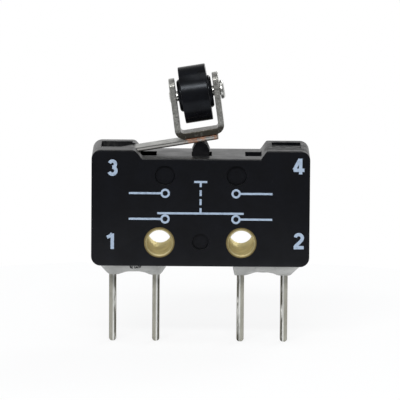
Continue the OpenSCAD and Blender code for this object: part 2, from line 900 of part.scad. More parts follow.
// Places its children in the lever's own frame: origin on the pin, X along the strip
module on_lever() {
    translate([-pin_x, 0, pin_z])
        rotate([0, -lever_tilt, 0])
            children();
}

module lever_pin() {
    color(STEEL)
        bar_y(-pin_x, pin_z, pin_d, seam_y + pin_end_gap, pin_back_y - pin_end_gap);
}

module lever() {
    color(STEEL)
        on_lever()
            intersection() {
                across(lever_w) {
                    ring_sector(eye_r, eye_outer_r, 90, 90 + eye_wrap);
                    translate([0, eye_r])
                        square([lever_l, lever_t]);
                }
                translate([-2 * eye_outer_r, 0, -2 * eye_outer_r])
                    linear_extrude(4 * eye_outer_r)
                        round_ended(lever_l + 2 * eye_outer_r, lever_w, lever_corner_r);
            }
}

module bracket_braze() {
    flat = bracket_span / 2 - bend_r;
    color(COPPER)
        on_lever()
            block([bracket_at - flat, -bracket_w / 2 + braze_in, strip_top],
                  [min(bracket_at + flat, lever_l - braze_in), bracket_w / 2 - braze_in, bracket_floor]);
}

// Section of the bracket: base, two bends and two ears that lean together
module bracket_section() {
    half = bracket_span / 2;
    ear_l = axle_h + ear_r + 1;
    translate([-half + bend_r, 0])
        square([2 * (half - bend_r), bracket_t]);
    translate([-half + bend_r, bend_r]) {
        ring_sector(bend_r - bracket_t, bend_r, 180 - ear_lean, 270);
        rotate(-ear_lean)
            translate([-bend_r, 0])
                square([bracket_t, ear_l]);
    }
    translate([half - bend_r, bend_r]) {
        ring_sector(bend_r - bracket_t, bend_r, 270, 360 - ear_lean);
        rotate(-ear_lean)
            translate([bend_r - bracket_t, 0])
                square([bracket_t, ear_l]);
    }
}

// Outline of the bracket seen along the axle
module ear_outline() {
    translate([-bracket_w / 2, -cut])
        square([bracket_w, axle_h + cut]);
    intersection() {
        translate([0, axle_h])
            circle(ear_r);
        translate([-bracket_w / 2, 0])
            square([bracket_w, axle_h + 2 * ear_r]);
    }
}

module roller_bracket() {
    color(STEEL)
        on_lever()
            difference() {
                translate([bracket_at, 0, bracket_floor])
                    intersection() {
                        across(bracket_w)
                            bracket_section();
                        rotate([90, 0, 90])
                            linear_extrude(2 * bracket_span, center = true)
                                ear_outline();
                    }
                translate([axle_x - bracket_span, 0, axle_z])
                    rotate([0, 90, 0])
                        cylinder(d = axle_d + 2 * axle_fit, h = 2 * bracket_span);
            }
}

// Turned shape about the axle from points of height and radius
module turned_on_axle() {
    translate([axle_x, 0, axle_z])
        rotate([0, 90, 0])
            rotate_extrude()
                children();
}

module roller_axle() {
    half = bracket_span / 2 + ear_gap;
    r = axle_d / 2;
    head = axle_head_d / 2;
    bevel = 0.1;
    color(STEEL)
        on_lever()
            turned_on_axle()
                polygon([
                    [0, -half - rivet_h], [rivet_d / 2 - bevel, -half - rivet_h],
                    [rivet_d / 2, -half - rivet_h / 3], [rivet_d / 2, -half], [r, -half],
                    [r, half], [head, half], [head, half + axle_head_h - bevel],
                    [head - bevel, half + axle_head_h], [0, half + axle_head_h]
                ]);
}

module roller() {
    half = roller_w / 2;
    rim = roller_d / 2;
    hub = hub_d / 2;
    bore = axle_d / 2 + roller_gap;
    bevel = 0.12;
    hub_bevel = 0.25;
    color(ROLLER_BLACK)
        on_lever()
            turned_on_axle()
                polygon([
                    [bore, -half - hub_h], [hub - hub_bevel, -half - hub_h], [hub, -half - hub_h + hub_bevel],
                    [hub, -half], [rim - bevel / 2, -half], [rim, -half + bevel / 2],
                    [rim, half - bevel / 2], [rim - bevel / 2, half], [hub, half],
                    [hub, half + hub_h - hub_bevel], [hub - hub_bevel, half + hub_h], [bore, half + hub_h]
                ]);
}

housing();
cover();
eyelet(-1);  // eyelet_left
eyelet(1);  // eyelet_right
plunger();
return_spring();
snap_spring(-1);  // snap_spring_left
snap_spring(1);  // snap_spring_right
contact_bridge();
bridge_contact(-1);  // bridge_contact_left
bridge_contact(1);  // bridge_contact_right
lower_terminal(-1);  // terminal_1
lower_terminal(1);  // terminal_2
upper_terminal(-1);  // terminal_3
upper_terminal(1);  // terminal_4
fixed_contact(-1, 1);  // fixed_contact_1
fixed_contact(1, 1);  // fixed_contact_2
fixed_contact(-1, -1);  // fixed_contact_3
fixed_contact(1, -1);  // fixed_contact_4
terminal_seal(-1);  // terminal_seal_left
terminal_seal(1);  // terminal_seal_right
lever_pin();
lever();
bracket_braze();
roller_bracket();
roller_axle();
roller();
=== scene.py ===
"""Looks of a small snap-action switch with a roller lever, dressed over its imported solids."""

import math

import bmesh
import bpy
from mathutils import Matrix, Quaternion, Vector, noise


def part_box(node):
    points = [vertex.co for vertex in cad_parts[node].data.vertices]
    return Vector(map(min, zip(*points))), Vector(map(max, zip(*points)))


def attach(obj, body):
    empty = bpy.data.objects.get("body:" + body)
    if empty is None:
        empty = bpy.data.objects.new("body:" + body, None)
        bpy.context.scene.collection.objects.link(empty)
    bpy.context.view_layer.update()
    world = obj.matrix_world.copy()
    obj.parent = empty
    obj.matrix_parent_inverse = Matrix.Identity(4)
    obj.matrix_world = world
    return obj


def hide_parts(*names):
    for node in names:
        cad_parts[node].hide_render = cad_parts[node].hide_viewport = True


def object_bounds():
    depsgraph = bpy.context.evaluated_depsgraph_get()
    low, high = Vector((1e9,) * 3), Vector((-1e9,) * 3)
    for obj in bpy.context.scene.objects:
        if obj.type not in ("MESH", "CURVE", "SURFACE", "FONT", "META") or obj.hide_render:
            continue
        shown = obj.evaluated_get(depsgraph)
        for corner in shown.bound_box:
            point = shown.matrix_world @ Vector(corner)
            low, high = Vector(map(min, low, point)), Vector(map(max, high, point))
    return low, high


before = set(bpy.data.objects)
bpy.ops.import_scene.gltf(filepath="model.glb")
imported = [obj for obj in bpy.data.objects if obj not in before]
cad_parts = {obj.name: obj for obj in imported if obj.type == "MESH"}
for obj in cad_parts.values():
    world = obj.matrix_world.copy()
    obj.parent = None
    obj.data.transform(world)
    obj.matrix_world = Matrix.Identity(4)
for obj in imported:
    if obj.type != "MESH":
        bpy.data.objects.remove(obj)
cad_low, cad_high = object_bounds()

MM = 0.001

# Meshes: points nearer than MERGE mm become one, faces within FLAT degrees become one flat face
# unless it has more than MOST_CORNERS corners, and edges over SHARP degrees stay sharp
MERGE = 0.001
FLAT = 0.5
MOST_CORNERS = 60
SHARP = 32

# Case, in mm, as the solids have it
CASE_L = 25.3
CASE_DROP = 2.8
DECK_Z = 9.77
BLOCK_RISE = 0.99
LEFT_BLOCK_L = 4.65
RIGHT_BLOCK_L = 4.8
CORNER_R = 1.1
LEFT_SHOULDER = (0.7, 0.3, 50)
RIGHT_SHOULDER = (0.4, 0.15, 55)
FRONT_Y = -4.75
REAR_Y = 4.75
HOLE_D = 2.8
EYELET_T = 0.2
LIP_R = 0.3
LIP_RIM = 0.03
LIP_EDGE = 0.02
LIP_UNDER = 0.05

# Finish of the case's outside: edge rounding, and how far its skin lies under the solids' faces
EDGE_R = 0.13
SKIN = 0.006
FACE_SKIN = 0.014
INK_LIFT = 0.008
INK_STEP = 0.0004
INK_ROOT = 0.01

# Seals: how far they hang below the case between the legs and how much more at a leg, the
# rounding of their four ends from left to right, how far they lie inside their solids, the size
# of their lumps, how full and how steep their sides are, and half the width of a leg's foot
SEAL_H = 1.32
MENISCUS_H = 0.4
MENISCUS_R = 0.85
SEAL_ENDS = (1.35, 0.95, 0.25, 1.35)
SEAL_INSET = 0.02
SEAL_ROOT = 0.03
SEAL_LUMP = 0.05
SEAL_CROWN = 2.6
SEAL_FALL = 0.55
SEAL_SQUASH = 0.7
LUMP_SCALE = 1.3
FOOT_HALF = 0.42

# Crumbs in the left seal: where they lie, how many to the square metre and how big
CRUMBS_FROM = (-8.2, -2.2, -3.55)
CRUMBS_TO = (-6.9, -1.0, -3.15)
CRUMB_DENSITY = 6.5e7
CRUMB_R = 0.07

# Rounding of the sharp edges of pieces
STRIP_EASE = 0.06
LEVER_EASE = 0.05
YOKE_EASE = 0.06
BRAZE_EASE = 0.02
BUTTON_EASE = 0.07
ROLLER_EASE = 0.11
AXLE_EASE = 0.08

# Legs of the terminals: width, depth of their middles, and height of their roots and tips
LEG_W = 0.85
LEG_Y = -0.95
LEG_ROOT_Z = -4.5
LEG_TIP_Z = -12.2
BARE_LEG_Z = -6
LEG_EDGE = 0.05

# Lever at rest
LEVER_TILT = math.radians(9.4)
LEVER_WAY = (math.cos(LEVER_TILT), 0, math.sin(LEVER_TILT))
LEVER_UP = (-math.sin(LEVER_TILT), 0, math.cos(LEVER_TILT))
LEVER_DOWN = (math.sin(LEVER_TILT), 0, -math.cos(LEVER_TILT))

# Roller: half widths and radii of rim and hub, its bore, and the groove round each hub
RIM_HALF = 1.6
RIM_R = 3.3
HUB_R = 1.9
HUB_H = 0.4
HUB_SLOPE = 0.22
ROLLER_BORE_R = 0.65
GROOVE_DEPTH = 0.1
GROOVE_LOW = 0.02
GROOVE_HIGH = 0.35
GROOVE_MOUTH = 0.5

# Axle between the bracket's ears, with its head and its riveted end
BRACKET_SPAN = 5.77
EAR_GAP = 0.03
AXLE_HALF = BRACKET_SPAN / 2 + EAR_GAP
AXLE_R = 0.6
HEAD_R = 1.1
HEAD_H = 0.48
RIVET_H = 0.14

# Return spring
COIL_TURNS = 4.5
COIL_WIRE_R = 0.12

# Printed figures: height, stroke and places of their middles
DIGIT_H = 1.82
STROKE = 0.39
DIAGRAM_STROKE = 0.24
FIGURES = (("3", -10.2, 8.7), ("1", -10.3, 0.1), ("4", 11.35, 9.0), ("2", 11.4, 0.27))

# Camera: rise over the horizon, distance to the case's front, lens, aim and roll
CAMERA_RISE = 8.2
CAMERA_DISTANCE = 600.0
CAMERA_LENS = 467.0
CAMERA_AIM = (-0.07, FRONT_Y, 5.0)
CAMERA_ROLL = 0.45


# ---- Meshes ----


def link(name, mesh):
    """A new object in the scene that shows a mesh."""
    piece = bpy.data.objects.new(name, mesh)
    bpy.context.scene.collection.objects.link(piece)
    return piece


def mesh_from(name, points, faces):
    """A closed mesh from points in mm, turned so that its faces look outwards."""
    mesh = bpy.data.meshes.new(name)
    mesh.from_pydata([Vector(p) * MM for p in points], [], faces)
    bm = bmesh.new()
    bm.from_mesh(mesh)
    bmesh.ops.recalc_face_normals(bm, faces=bm.faces)
    if bm.calc_volume(signed=True) < 0:
        bmesh.ops.reverse_faces(bm, faces=bm.faces)
    bm.to_mesh(mesh)
    bm.free()
    return mesh


def smooth(mesh, angle=SHARP):
    """Smooth shading that keeps edges sharper than angle."""
    mesh.shade_smooth()
    mesh.set_sharp_from_angle(angle=math.radians(angle))


def merged_copy(node):
    """A clean copy of a solid's mesh, its loose triangles joined and its flat faces made whole."""
    bm = bmesh.new()
    bm.from_mesh(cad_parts[node].data)
    bmesh.ops.remove_doubles(bm, verts=bm.verts, dist=MERGE * MM)
    bmesh.ops.dissolve_limit(bm, angle_limit=math.radians(FLAT), verts=bm.verts, edges=bm.edges)
    bmesh.ops.triangulate(bm, faces=[f for f in bm.faces if len(f.verts) > MOST_CORNERS])
    points = [v.co.copy() for v in bm.verts]
    for index, vert in enumerate(bm.verts):
        vert.index = index
    faces = [[v.index for v in f.verts] for f in bm.faces]
    bm.free()
    mesh = bpy.data.meshes.new(node)
    mesh.from_pydata(points, [], faces)
    return mesh


def applied(piece):
    """Turns what a piece's modifiers make into its plain mesh."""
    graph = bpy.context.evaluated_depsgraph_get()
    made = bpy.data.meshes.new_from_object(
        piece.evaluated_get(graph), preserve_all_data_layers=True, depsgraph=graph
    )
    piece.modifiers.clear()
    piece.data = made
    return piece


def eased(node, name, width, segments=3):
    """A copy of a solid with its sharp edges rounded by width mm."""
    piece = link(name, merged_copy(node))
    smooth(piece.data)
    bevel = piece.modifiers.new("Eased edges", "BEVEL")
    bevel.width = width * MM
    bevel.segments = segments
    bevel.limit_method = "ANGLE"
    bevel.angle_limit = math.radians(SHARP)
    bevel.use_clamp_overlap = False
    bevel.harden_normals = True
    return applied(piece)


def marked(piece, name, share):
    """Stores share(place in mm), kept between 0 and 1, as an attribute of the piece."""
    values = piece.data.attributes.new(name, "FLOAT", "POINT").data
    for vert, value in zip(piece.data.vertices, values):
        value.value = min(1.0, max(0.0, share(vert.co / MM)))
    return piece


def turned(name, profile, centre, axis, steps=96):
    """A closed turned mesh from a loop of (height, radius) in mm about an axis through centre."""
    axis = Vector(axis).normalized()
    side = axis.orthogonal().normalized()
    other = axis.cross(side)
    points = []
    for k in range(steps):
        angle = 2 * math.pi * k / steps
        out = math.cos(angle) * side + math.sin(angle) * other
        points += [Vector(centre) + axis * h + out * r for h, r in profile]
    n = len(profile)
    faces = []
    for k in range(steps):
        here, after = k * n, (k + 1) % steps * n
        for i in range(n):
            j = (i + 1) % n
            faces.append((here + i, here + j, after + j, after + i))
    mesh = mesh_from(name, points, faces)
    bm = bmesh.new()
    bm.from_mesh(mesh)
    bmesh.ops.remove_doubles(bm, verts=bm.verts, dist=0.0005 * MM)
    bmesh.ops.recalc_face_normals(bm, faces=bm.faces)
    bm.to_mesh(mesh)
    bm.free()
    smooth(mesh, 40)
    return link(name, mesh)


def rounded(profile, radius, steps=4):
    """A loop of (height, radius) corners with each corner replaced by a short arc."""
    out = []
    count = len(profile)
    for i, here in enumerate(profile):
        here = Vector(here)
        before = Vector(profile[i - 1]) - here
        after = Vector(profile[(i + 1) % count]) - here
        reach = min(radius, before.length * 0.45, after.length * 0.45)
        if here.y <= 1e-6 or reach <= 1e-6:
            out.append(tuple(here))
            continue
        a = here + before.normalized() * reach
        b = here + after.normalized() * reach
        for k in range(steps + 1):
            t = k / steps
            out.append(tuple(a * (1 - t) ** 2 + here * 2 * t * (1 - t) + b * t * t))
    return out


def swept(path, width, front, back):
    """Points and faces of a flat ribbon of the given width along a path of (x, z) in mm."""
    rings = []
    for i, here in enumerate(path):
        before = Vector(path[max(0, i - 1)])
        after = Vector(path[min(len(path) - 1, i + 1)])
        along = (after - before).normalized()
        side = Vector((-along.y, along.x)) * width / 2
        left, right = Vector(here) + side, Vector(here) - side
        rings.append(
            [
                (left.x, front, left.y),
                (right.x, front, right.y),
                (right.x, back, right.y),
                (left.x, back, left.y),
            ]
        )
    points = [p for ring in rings for p in ring]
    faces = []
    for i in range(len(rings) - 1):
        for k in range(4):
            j = (k + 1) % 4
            faces.append((4 * i + k, 4 * i + j, 4 * i + 4 + j, 4 * i + 4 + k))
    last = 4 * (len(rings) - 1)
    faces += [(3, 2, 1, 0), (last, last + 1, last + 2, last + 3)]
    return points, faces


def arc(centre, radius, start, end, steps=12):
    """Points on an arc, with angles in degrees."""
    angles = [math.radians(start + (end - start) * k / steps) for k in range(steps + 1)]
    return [(centre[0] + radius * math.cos(a), centre[1] + radius * math.sin(a)) for a in angles]


# ---- Case ----


def shoulder_reach(shoulder):
    """How far along X a shoulder takes the case from an end block's top down to the deck."""
    convex, concave, slope = shoulder
    total = convex + concave
    slope = math.radians(slope)
    return ((BLOCK_RISE - total) * math.cos(slope) + total) / math.sin(slope)


def case_outline(inset):
    """The case's outline in X and Z, moved inwards by inset."""
    half = CASE_L / 2
    low, high = -CASE_DROP + CORNER_R, DECK_Z + BLOCK_RISE - CORNER_R
    left, right = -half + LEFT_BLOCK_L, half - RIGHT_BLOCK_L
    block_z = DECK_Z + BLOCK_RISE
    lr, rr = LEFT_SHOULDER, RIGHT_SHOULDER
    corner = CORNER_R - inset
    loop = arc((-half + CORNER_R, low), corner, 180, 270)
    loop += arc((half - CORNER_R, low), corner, 270, 360)
    loop += arc((half - CORNER_R, high), corner, 0, 90)
    loop += arc((right, block_z - rr[0]), rr[0] - inset, 90, 90 + rr[2], 6)
    loop += arc((right - shoulder_reach(rr), DECK_Z + rr[1]), rr[1] + inset, rr[2] - 90, -90, 6)
    loop += arc((left + shoulder_reach(lr), DECK_Z + lr[1]), lr[1] + inset, -90, -90 - lr[2], 6)
    loop += arc((left, block_z - lr[0]), lr[0] - inset, 90 - lr[2], 90, 6)
    loop += arc((-half + CORNER_R, high), corner, 90, 180)
    return loop


def rounded_block():
    """The case's outside as one block with rounded front and rear edges."""
    steps = 6
    levels = []
    for k in range(steps + 1):
        angle = math.radians(90 * k / steps)
        depth = EDGE_R * (1 - math.cos(angle))
        levels.append((FRONT_Y + FACE_SKIN + depth, SKIN + EDGE_R * (1 - math.sin(angle))))
    for k in range(steps, -1, -1):
        angle = math.radians(90 * k / steps)
        depth = EDGE_R * (1 - math.cos(angle))
        levels.append((REAR_Y - SKIN - depth, SKIN + EDGE_R * (1 - math.sin(angle))))
    points = [(x, y, z) for y, inset in levels for x, z in case_outline(inset)]
    n = len(case_outline(0))
    faces = [
        (i * n + k, i * n + (k + 1) % n, (i + 1) * n + (k + 1) % n, (i + 1) * n + k)
        for i in range(len(levels) - 1)
        for k in range(n)
    ]
    faces += [tuple(range(n - 1, -1, -1)), tuple((len(levels) - 1) * n + k for k in range(n))]
    return mesh_from("Rounded block", points, faces)


def case_half(node, name, block):
    """A half of the case: its solid cut to the rounded block."""
    piece = link(name, merged_copy(node))
    cut = piece.modifiers.new("Rounded edges", "BOOLEAN")
    cut.operation = "INTERSECT"
    cut.solver = "EXACT"
    cut.object = block
    applied(piece)
    smooth(piece.data)
    return piece


def make_case():
    """Cover and housing, each cut to the same rounded block."""
    block = link("Rounded block", rounded_block())
    cover = case_half("cover", "Cover_moulding", block)
    housing = case_half("housing", "Housing_moulding", block)
    bpy.data.objects.remove(block)
    return cover, housing


def make_eyelet(node, name):
    """Brass eyelet with both ends rolled over, turned a little thinner towards its rims."""
    low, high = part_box(node)
    x = (low.x + high.x) / 2 / MM
    bore = HOLE_D / 2
    rim = bore + LIP_R
    wall = EYELET_T
    inside = arc((FRONT_Y + LIP_R, rim), LIP_R, 180, 270, 14)
    inside += arc((REAR_Y - LIP_R, rim), LIP_R, 270, 360, 14)
    rear = arc((REAR_Y - wall / 2, rim + LIP_RIM - LIP_EDGE), wall / 2, 90, -0.01, 6)[::-1]
    front = arc((FRONT_Y + wall / 2, rim + LIP_RIM - LIP_EDGE), wall / 2, 90, 180, 6)
    outside = [(REAR_Y - wall, rim - LIP_UNDER), (REAR_Y - LIP_R, bore + wall)]
    outside += [(FRONT_Y + LIP_R, bore + wall), (FRONT_Y + wall, rim - LIP_UNDER)]
    piece = turned(name, inside + rear + outside + front, (x, 0, 0), (0, 1, 0), 128)
    # Rim is 0 in the bore and 1 out on the rolled lip, where the brass finish paints shade
    return marked(piece, "Rim", lambda p: (math.hypot(p.x - x, p.z) - bore - 0.04) / LIP_R)


# ---- Print ----


def digit_strokes(digit):
    """Strokes of a plain figure in a box one high, as paths of (x, z) about its middle."""
    shapes = {
        "1": [[(-0.28, 0.25), (-0.06, 0.35), (0.06, 0.5)], [(0.06, 0.5), (0.06, -0.5)]],
        "2": [
            arc((0.0, 0.2), 0.225, 168, -32, 14)
            + [(0.0, -0.14), (-0.17, -0.28), (-0.24, -0.42)],
            [(-0.32, -0.415), (0.32, -0.415)],
        ],
        "3": [
            arc((-0.01, 0.225), 0.195, 160, -90, 14),
            arc((-0.01, -0.2), 0.225, 90, -158, 16),
        ],
        "4": [
            [(0.1, 0.5), (0.1, -0.5)],
            [(0.06, 0.48), (-0.31, -0.22)],
            [(-0.35, -0.24), (0.34, -0.24)],
        ],
    }
    return shapes[digit]


def contact_diagram():
    """Strokes of a plain contact diagram: two pairs of points, a bridge and its dashed rod."""
    upper, lower, bridge, top = 5.75, 2.75, 3.42, 7.1
    inner, outer, ring, overhang, button = 4.1, 8.3, 0.42, 0.9, 0.75
    strokes = []
    for level in (upper, lower):
        for side in (-1, 1):
            strokes.append([(side * outer, level), (side * (inner + ring), level)])
            strokes.append(arc((side * inner, level), ring, 0, 360, 28))
    strokes.append([(-inner - overhang, bridge), (inner + overhang, bridge)])
    rod = [(bridge, 4.05), (4.4, 5.1), (5.45, 6.15), (6.5, top)]
    strokes += [[(0, start), (0, end)] for start, end in rod]
    strokes.append([(-button, top), (button, top)])
    return strokes


def make_print():
    """All the print on the cover as one thin layer of ink; strokes that cross differ in lift."""
    points, faces, jobs = [], [], []
    for digit, x, z in FIGURES:
        for stroke in digit_strokes(digit):
            jobs.append(([(x + DIGIT_H * u, z + DIGIT_H * v) for u, v in stroke], STROKE))
    jobs += [(stroke, DIAGRAM_STROKE) for stroke in contact_diagram()]
    face_y = FRONT_Y + FACE_SKIN
    for turn, (path, width) in enumerate(jobs):
        lift = INK_LIFT + INK_STEP * (turn % 10)
        got, sides = swept(path, width, face_y - lift, face_y + INK_ROOT)
        start = len(points)
        points += got
        faces += [tuple(start + i for i in face) for face in sides]
    return link("Printed_marks", mesh_from("Printed marks", points, faces))


# ---- Seals ----


def leg_middle(node):
    """X of a terminal's leg below the case, in mm."""
    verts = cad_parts[node].data.vertices
    xs = [v.co.x for v in verts if v.co.z < BARE_LEG_Z * MM]
    return (min(xs) + max(xs)) / 2 / MM


def make_seal(node, name, legs):
    """Cast resin bead: it climbs down each leg and draws in at its ends and sides."""
    low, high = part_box(node)
    x0, x1 = low.x / MM + SEAL_INSET, high.x / MM - SEAL_INSET
    half_w = (high.y - low.y) / 2 / MM - SEAL_INSET
    ends = SEAL_ENDS[:2] if x0 < 0 else SEAL_ENDS[2:]
    middles = [leg_middle(leg) for leg in legs]
    nx, ny = 110, 44
    points = []
    for i in range(nx + 1):
        x = (x0 + x1) / 2 - (x1 - x0) / 2 * math.cos(math.pi * i / nx)
        from_low = min(1, max(0, x - x0) / ends[0])
        from_high = min(1, max(0, x1 - x) / ends[1])
        end = from_low**SEAL_FALL * from_high**SEAL_FALL
        for j in range(ny + 1):
            s = -math.cos(math.pi * j / ny)
            y = s * half_w
            share = max(0, 1 - abs(s) ** SEAL_CROWN) ** SEAL_FALL
            aside = (y - LEG_Y) * SEAL_SQUASH
            near = min(math.hypot(max(0, abs(x - m) - FOOT_HALF), aside) for m in middles)
            climb = MENISCUS_H * math.exp(-((near / MENISCUS_R) ** 2))
            lump = noise.noise(Vector((x * LUMP_SCALE, y * LUMP_SCALE, 2)))
            rough = SEAL_LUMP * lump * share * end
            depth = end * share * (SEAL_H + climb) + rough
            points.append((x, y, -CASE_DROP + SEAL_ROOT - max(0, depth)))
    row = ny + 1
    faces = [
        (i * row + j, (i + 1) * row + j, (i + 1) * row + j + 1, i * row + j + 1)
        for i in range(nx)
        for j in range(ny)
    ]
    rim = [i * row for i in range(nx)] + [nx * row + j for j in range(ny)]
    rim += [i * row + ny for i in range(nx, 0, -1)] + list(range(ny, 0, -1))
    faces.append(tuple(rim))
    mesh = mesh_from(name, points, faces)
    smooth(mesh, 60)
    return link(name, mesh)


# ---- Terminals, lever and roller ----


def make_terminal(node, name, lean):
    """Tinned strip with eased edges; its leg leans by lean mm at the tip."""
    piece = eased(node, name, STRIP_EASE)
    centre, half = leg_middle(node), LEG_W / 2
    inwards = -1 if centre > 0 else 1
    # Inner side runs across each leg, 0 at its outer edge and 1 at its inner; the tin finish paints
    # a highlight and a shade line along it
    marked(piece, "Inner side", lambda p: 0.5 + 0.5 * inwards * (p.x - centre) / half)
    marked(piece, "Edge", lambda p: (abs(p.x - centre) - half + LEG_EDGE) / LEG_EDGE)
    for vert in piece.data.vertices:
        if vert.co.z < LEG_ROOT_Z * MM:
            share = (LEG_ROOT_Z - vert.co.z / MM) / (LEG_ROOT_Z - LEG_TIP_Z)
            vert.co.x += lean * MM * share
    return piece


def middle(node):
    """Middle of a solid's box, in mm."""
    low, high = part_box(node)
    return (low + high) / 2 / MM


def make_roller():
    """Black roller with a hub on each side, eased rims and a shallow groove round each hub."""
    half, side, slope, floor = RIM_HALF, HUB_H, HUB_SLOPE, RIM_HALF - GROOVE_DEPTH
    right = [
        (half, RIM_R), (half, HUB_R + GROOVE_MOUTH), (floor, HUB_R + GROOVE_HIGH),
        (floor, HUB_R + GROOVE_LOW), (half + side - slope, HUB_R), (half + side, HUB_R - slope),
        (half + side, ROLLER_BORE_R),
    ]
    profile = [(-height, radius) for height, radius in reversed(right)] + right
    return turned("Roller_wheel", rounded(profile, ROLLER_EASE), middle("roller"), LEVER_WAY, 144)


def make_axle():
    """Axle riveted over at one end, with a domed head at the other."""
    half, crown = AXLE_HALF, AXLE_HALF + HEAD_H
    centre = middle("roller")
    tail_r, swell_r, swell_h = 0.45, 0.76, 0.02
    rim_h, bevel, dimple_r, dimple_h = 0.3, 0.22, 0.35, 0.44
    profile = [
        (-half - RIVET_H, 0.0), (-half - RIVET_H, tail_r), (-half - swell_h, swell_r),
        (-half, AXLE_R), (half, AXLE_R), (half, HEAD_R), (half + rim_h, HEAD_R),
        (crown, HEAD_R - bevel), (crown, dimple_r), (half + dimple_h, 0.0),
    ]
    return turned("Roller_axle_pin", rounded(profile, AXLE_EASE), centre, LEVER_WAY, 64)


# ---- Return spring and crumbs: each grown by a tree of named sizes ----


def coil_tree():
    """A round wire wound into a coil."""
    tree = bpy.data.node_groups.new("Coil", "GeometryNodeTree")
    interface = tree.interface
    for name, kind in (
        ("Turns", "NodeSocketFloat"), ("Mean radius", "NodeSocketFloat"),
        ("Height", "NodeSocketFloat"), ("Wire radius", "NodeSocketFloat"),
        ("Finish", "NodeSocketMaterial"),
    ):
        interface.new_socket(name, in_out="INPUT", socket_type=kind)
    interface.new_socket("Mesh", in_out="OUTPUT", socket_type="NodeSocketGeometry")
    nodes, links = tree.nodes, tree.links
    given, out = nodes.new("NodeGroupInput"), nodes.new("NodeGroupOutput")
    spiral = nodes.new("GeometryNodeCurveSpiral")
    spiral.inputs["Resolution"].default_value = 32
    wire = nodes.new("GeometryNodeCurvePrimitiveCircle")
    wire.inputs["Resolution"].default_value = 10
    tube = nodes.new("GeometryNodeCurveToMesh")
    tube.inputs["Fill Caps"].default_value = True
    soft = nodes.new("GeometryNodeSetShadeSmooth")
    whole = nodes.new("GeometryNodeRealizeInstances")
    paint = nodes.new("GeometryNodeSetMaterial")
    links.new(given.outputs["Turns"], spiral.inputs["Rotations"])
    links.new(given.outputs["Mean radius"], spiral.inputs["Start Radius"])
    links.new(given.outputs["Mean radius"], spiral.inputs["End Radius"])
    links.new(given.outputs["Height"], spiral.inputs["Height"])
    links.new(given.outputs["Wire radius"], wire.inputs["Radius"])
    links.new(spiral.outputs["Curve"], tube.inputs["Curve"])
    links.new(wire.outputs["Curve"], tube.inputs["Profile Curve"])
    links.new(tube.outputs["Mesh"], soft.inputs["Geometry"])
    links.new(soft.outputs["Geometry"], whole.inputs["Geometry"])
    links.new(whole.outputs["Geometry"], paint.inputs["Geometry"])
    links.new(given.outputs["Finish"], paint.inputs["Material"])
    links.new(paint.outputs["Geometry"], out.inputs["Mesh"])
    return tree


def grown(name, tree, values, start=None):
    """The plain mesh that a tree of named sizes makes."""
    piece = link(name, start or bpy.data.meshes.new(name))
    shape = piece.modifiers.new("Shape", "NODES")
    shape.node_group = tree
    sockets = {i.name: i.identifier for i in tree.interface.items_tree if i.in_out == "INPUT"}
    for key, value in values.items():
        shape[sockets[key]] = value
    return applied(piece)


def make_return_spring(finish):
    """Round wire coil that fills the box of its solid."""
    low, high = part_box("return_spring")
    wire = COIL_WIRE_R * MM
    values = {
        "Turns": COIL_TURNS, "Mean radius": (high.x - low.x) / 2 - wire, "Wire radius": wire,
        "Height": high.z - low.z - 2 * wire, "Finish": finish,
    }
    piece = grown("Return_coil", coil_tree(), values)
    for vert in piece.data.vertices:
        vert.co.z += low.z + wire
    return piece


def fleck_tree():
    """Small dark grains of uneven size scattered on a surface."""
    tree = bpy.data.node_groups.new("Flecks", "GeometryNodeTree")
    interface = tree.interface
    interface.new_socket("Surface", in_out="INPUT", socket_type="NodeSocketGeometry")
    for name, kind in (
        ("Density", "NodeSocketFloat"), ("Grain", "NodeSocketFloat"), ("Seed", "NodeSocketInt"),
        ("Finish", "NodeSocketMaterial"),
    ):
        interface.new_socket(name, in_out="INPUT", socket_type=kind)
    interface.new_socket("Mesh", in_out="OUTPUT", socket_type="NodeSocketGeometry")
    nodes, links = tree.nodes, tree.links
    given, out = nodes.new("NodeGroupInput"), nodes.new("NodeGroupOutput")
    spread = nodes.new("GeometryNodeDistributePointsOnFaces")
    grain = nodes.new("GeometryNodeMeshIcoSphere")
    grain.inputs["Subdivisions"].default_value = 2
    size = nodes.new("FunctionNodeRandomValue")
    size.data_type = "FLOAT_VECTOR"
    size.inputs[0].default_value = (0.5, 0.5, 0.25)
    size.inputs[1].default_value = (1.5, 1.2, 0.5)
    scatter = nodes.new("GeometryNodeInstanceOnPoints")
    whole = nodes.new("GeometryNodeRealizeInstances")
    paint = nodes.new("GeometryNodeSetMaterial")
    links.new(given.outputs["Surface"], spread.inputs["Mesh"])
    links.new(given.outputs["Density"], spread.inputs["Density"])
    links.new(given.outputs["Seed"], spread.inputs["Seed"])
    links.new(given.outputs["Seed"], size.inputs["Seed"])
    links.new(given.outputs["Grain"], grain.inputs["Radius"])
    links.new(spread.outputs["Points"], scatter.inputs["Points"])
    links.new(spread.outputs["Rotation"], scatter.inputs["Rotation"])
    links.new(grain.outputs["Mesh"], scatter.inputs["Instance"])
    links.new(size.outputs[0], scatter.inputs["Scale"])
    links.new(scatter.outputs["Instances"], whole.inputs["Geometry"])
    links.new(whole.outputs["Geometry"], paint.inputs["Geometry"])
    links.new(given.outputs["Finish"], paint.inputs["Material"])
    links.new(paint.outputs["Geometry"], out.inputs["Mesh"])
    return tree


def patch(name, piece, low, high):
    """The part of a piece's surface between two corners in mm, to scatter on."""
    bm = bmesh.new()
    bm.from_mesh(piece.data)
    away = []
    for face in bm.faces:
        centre = face.calc_center_median() / MM
        if not all(a <= m <= b for a, m, b in zip(low, centre, high)):
            away.append(face)
    bmesh.ops.delete(bm, geom=away, context="FACES")
    mesh = bpy.data.meshes.new(name)
    bm.to_mesh(mesh)
    bm.free()
    return mesh


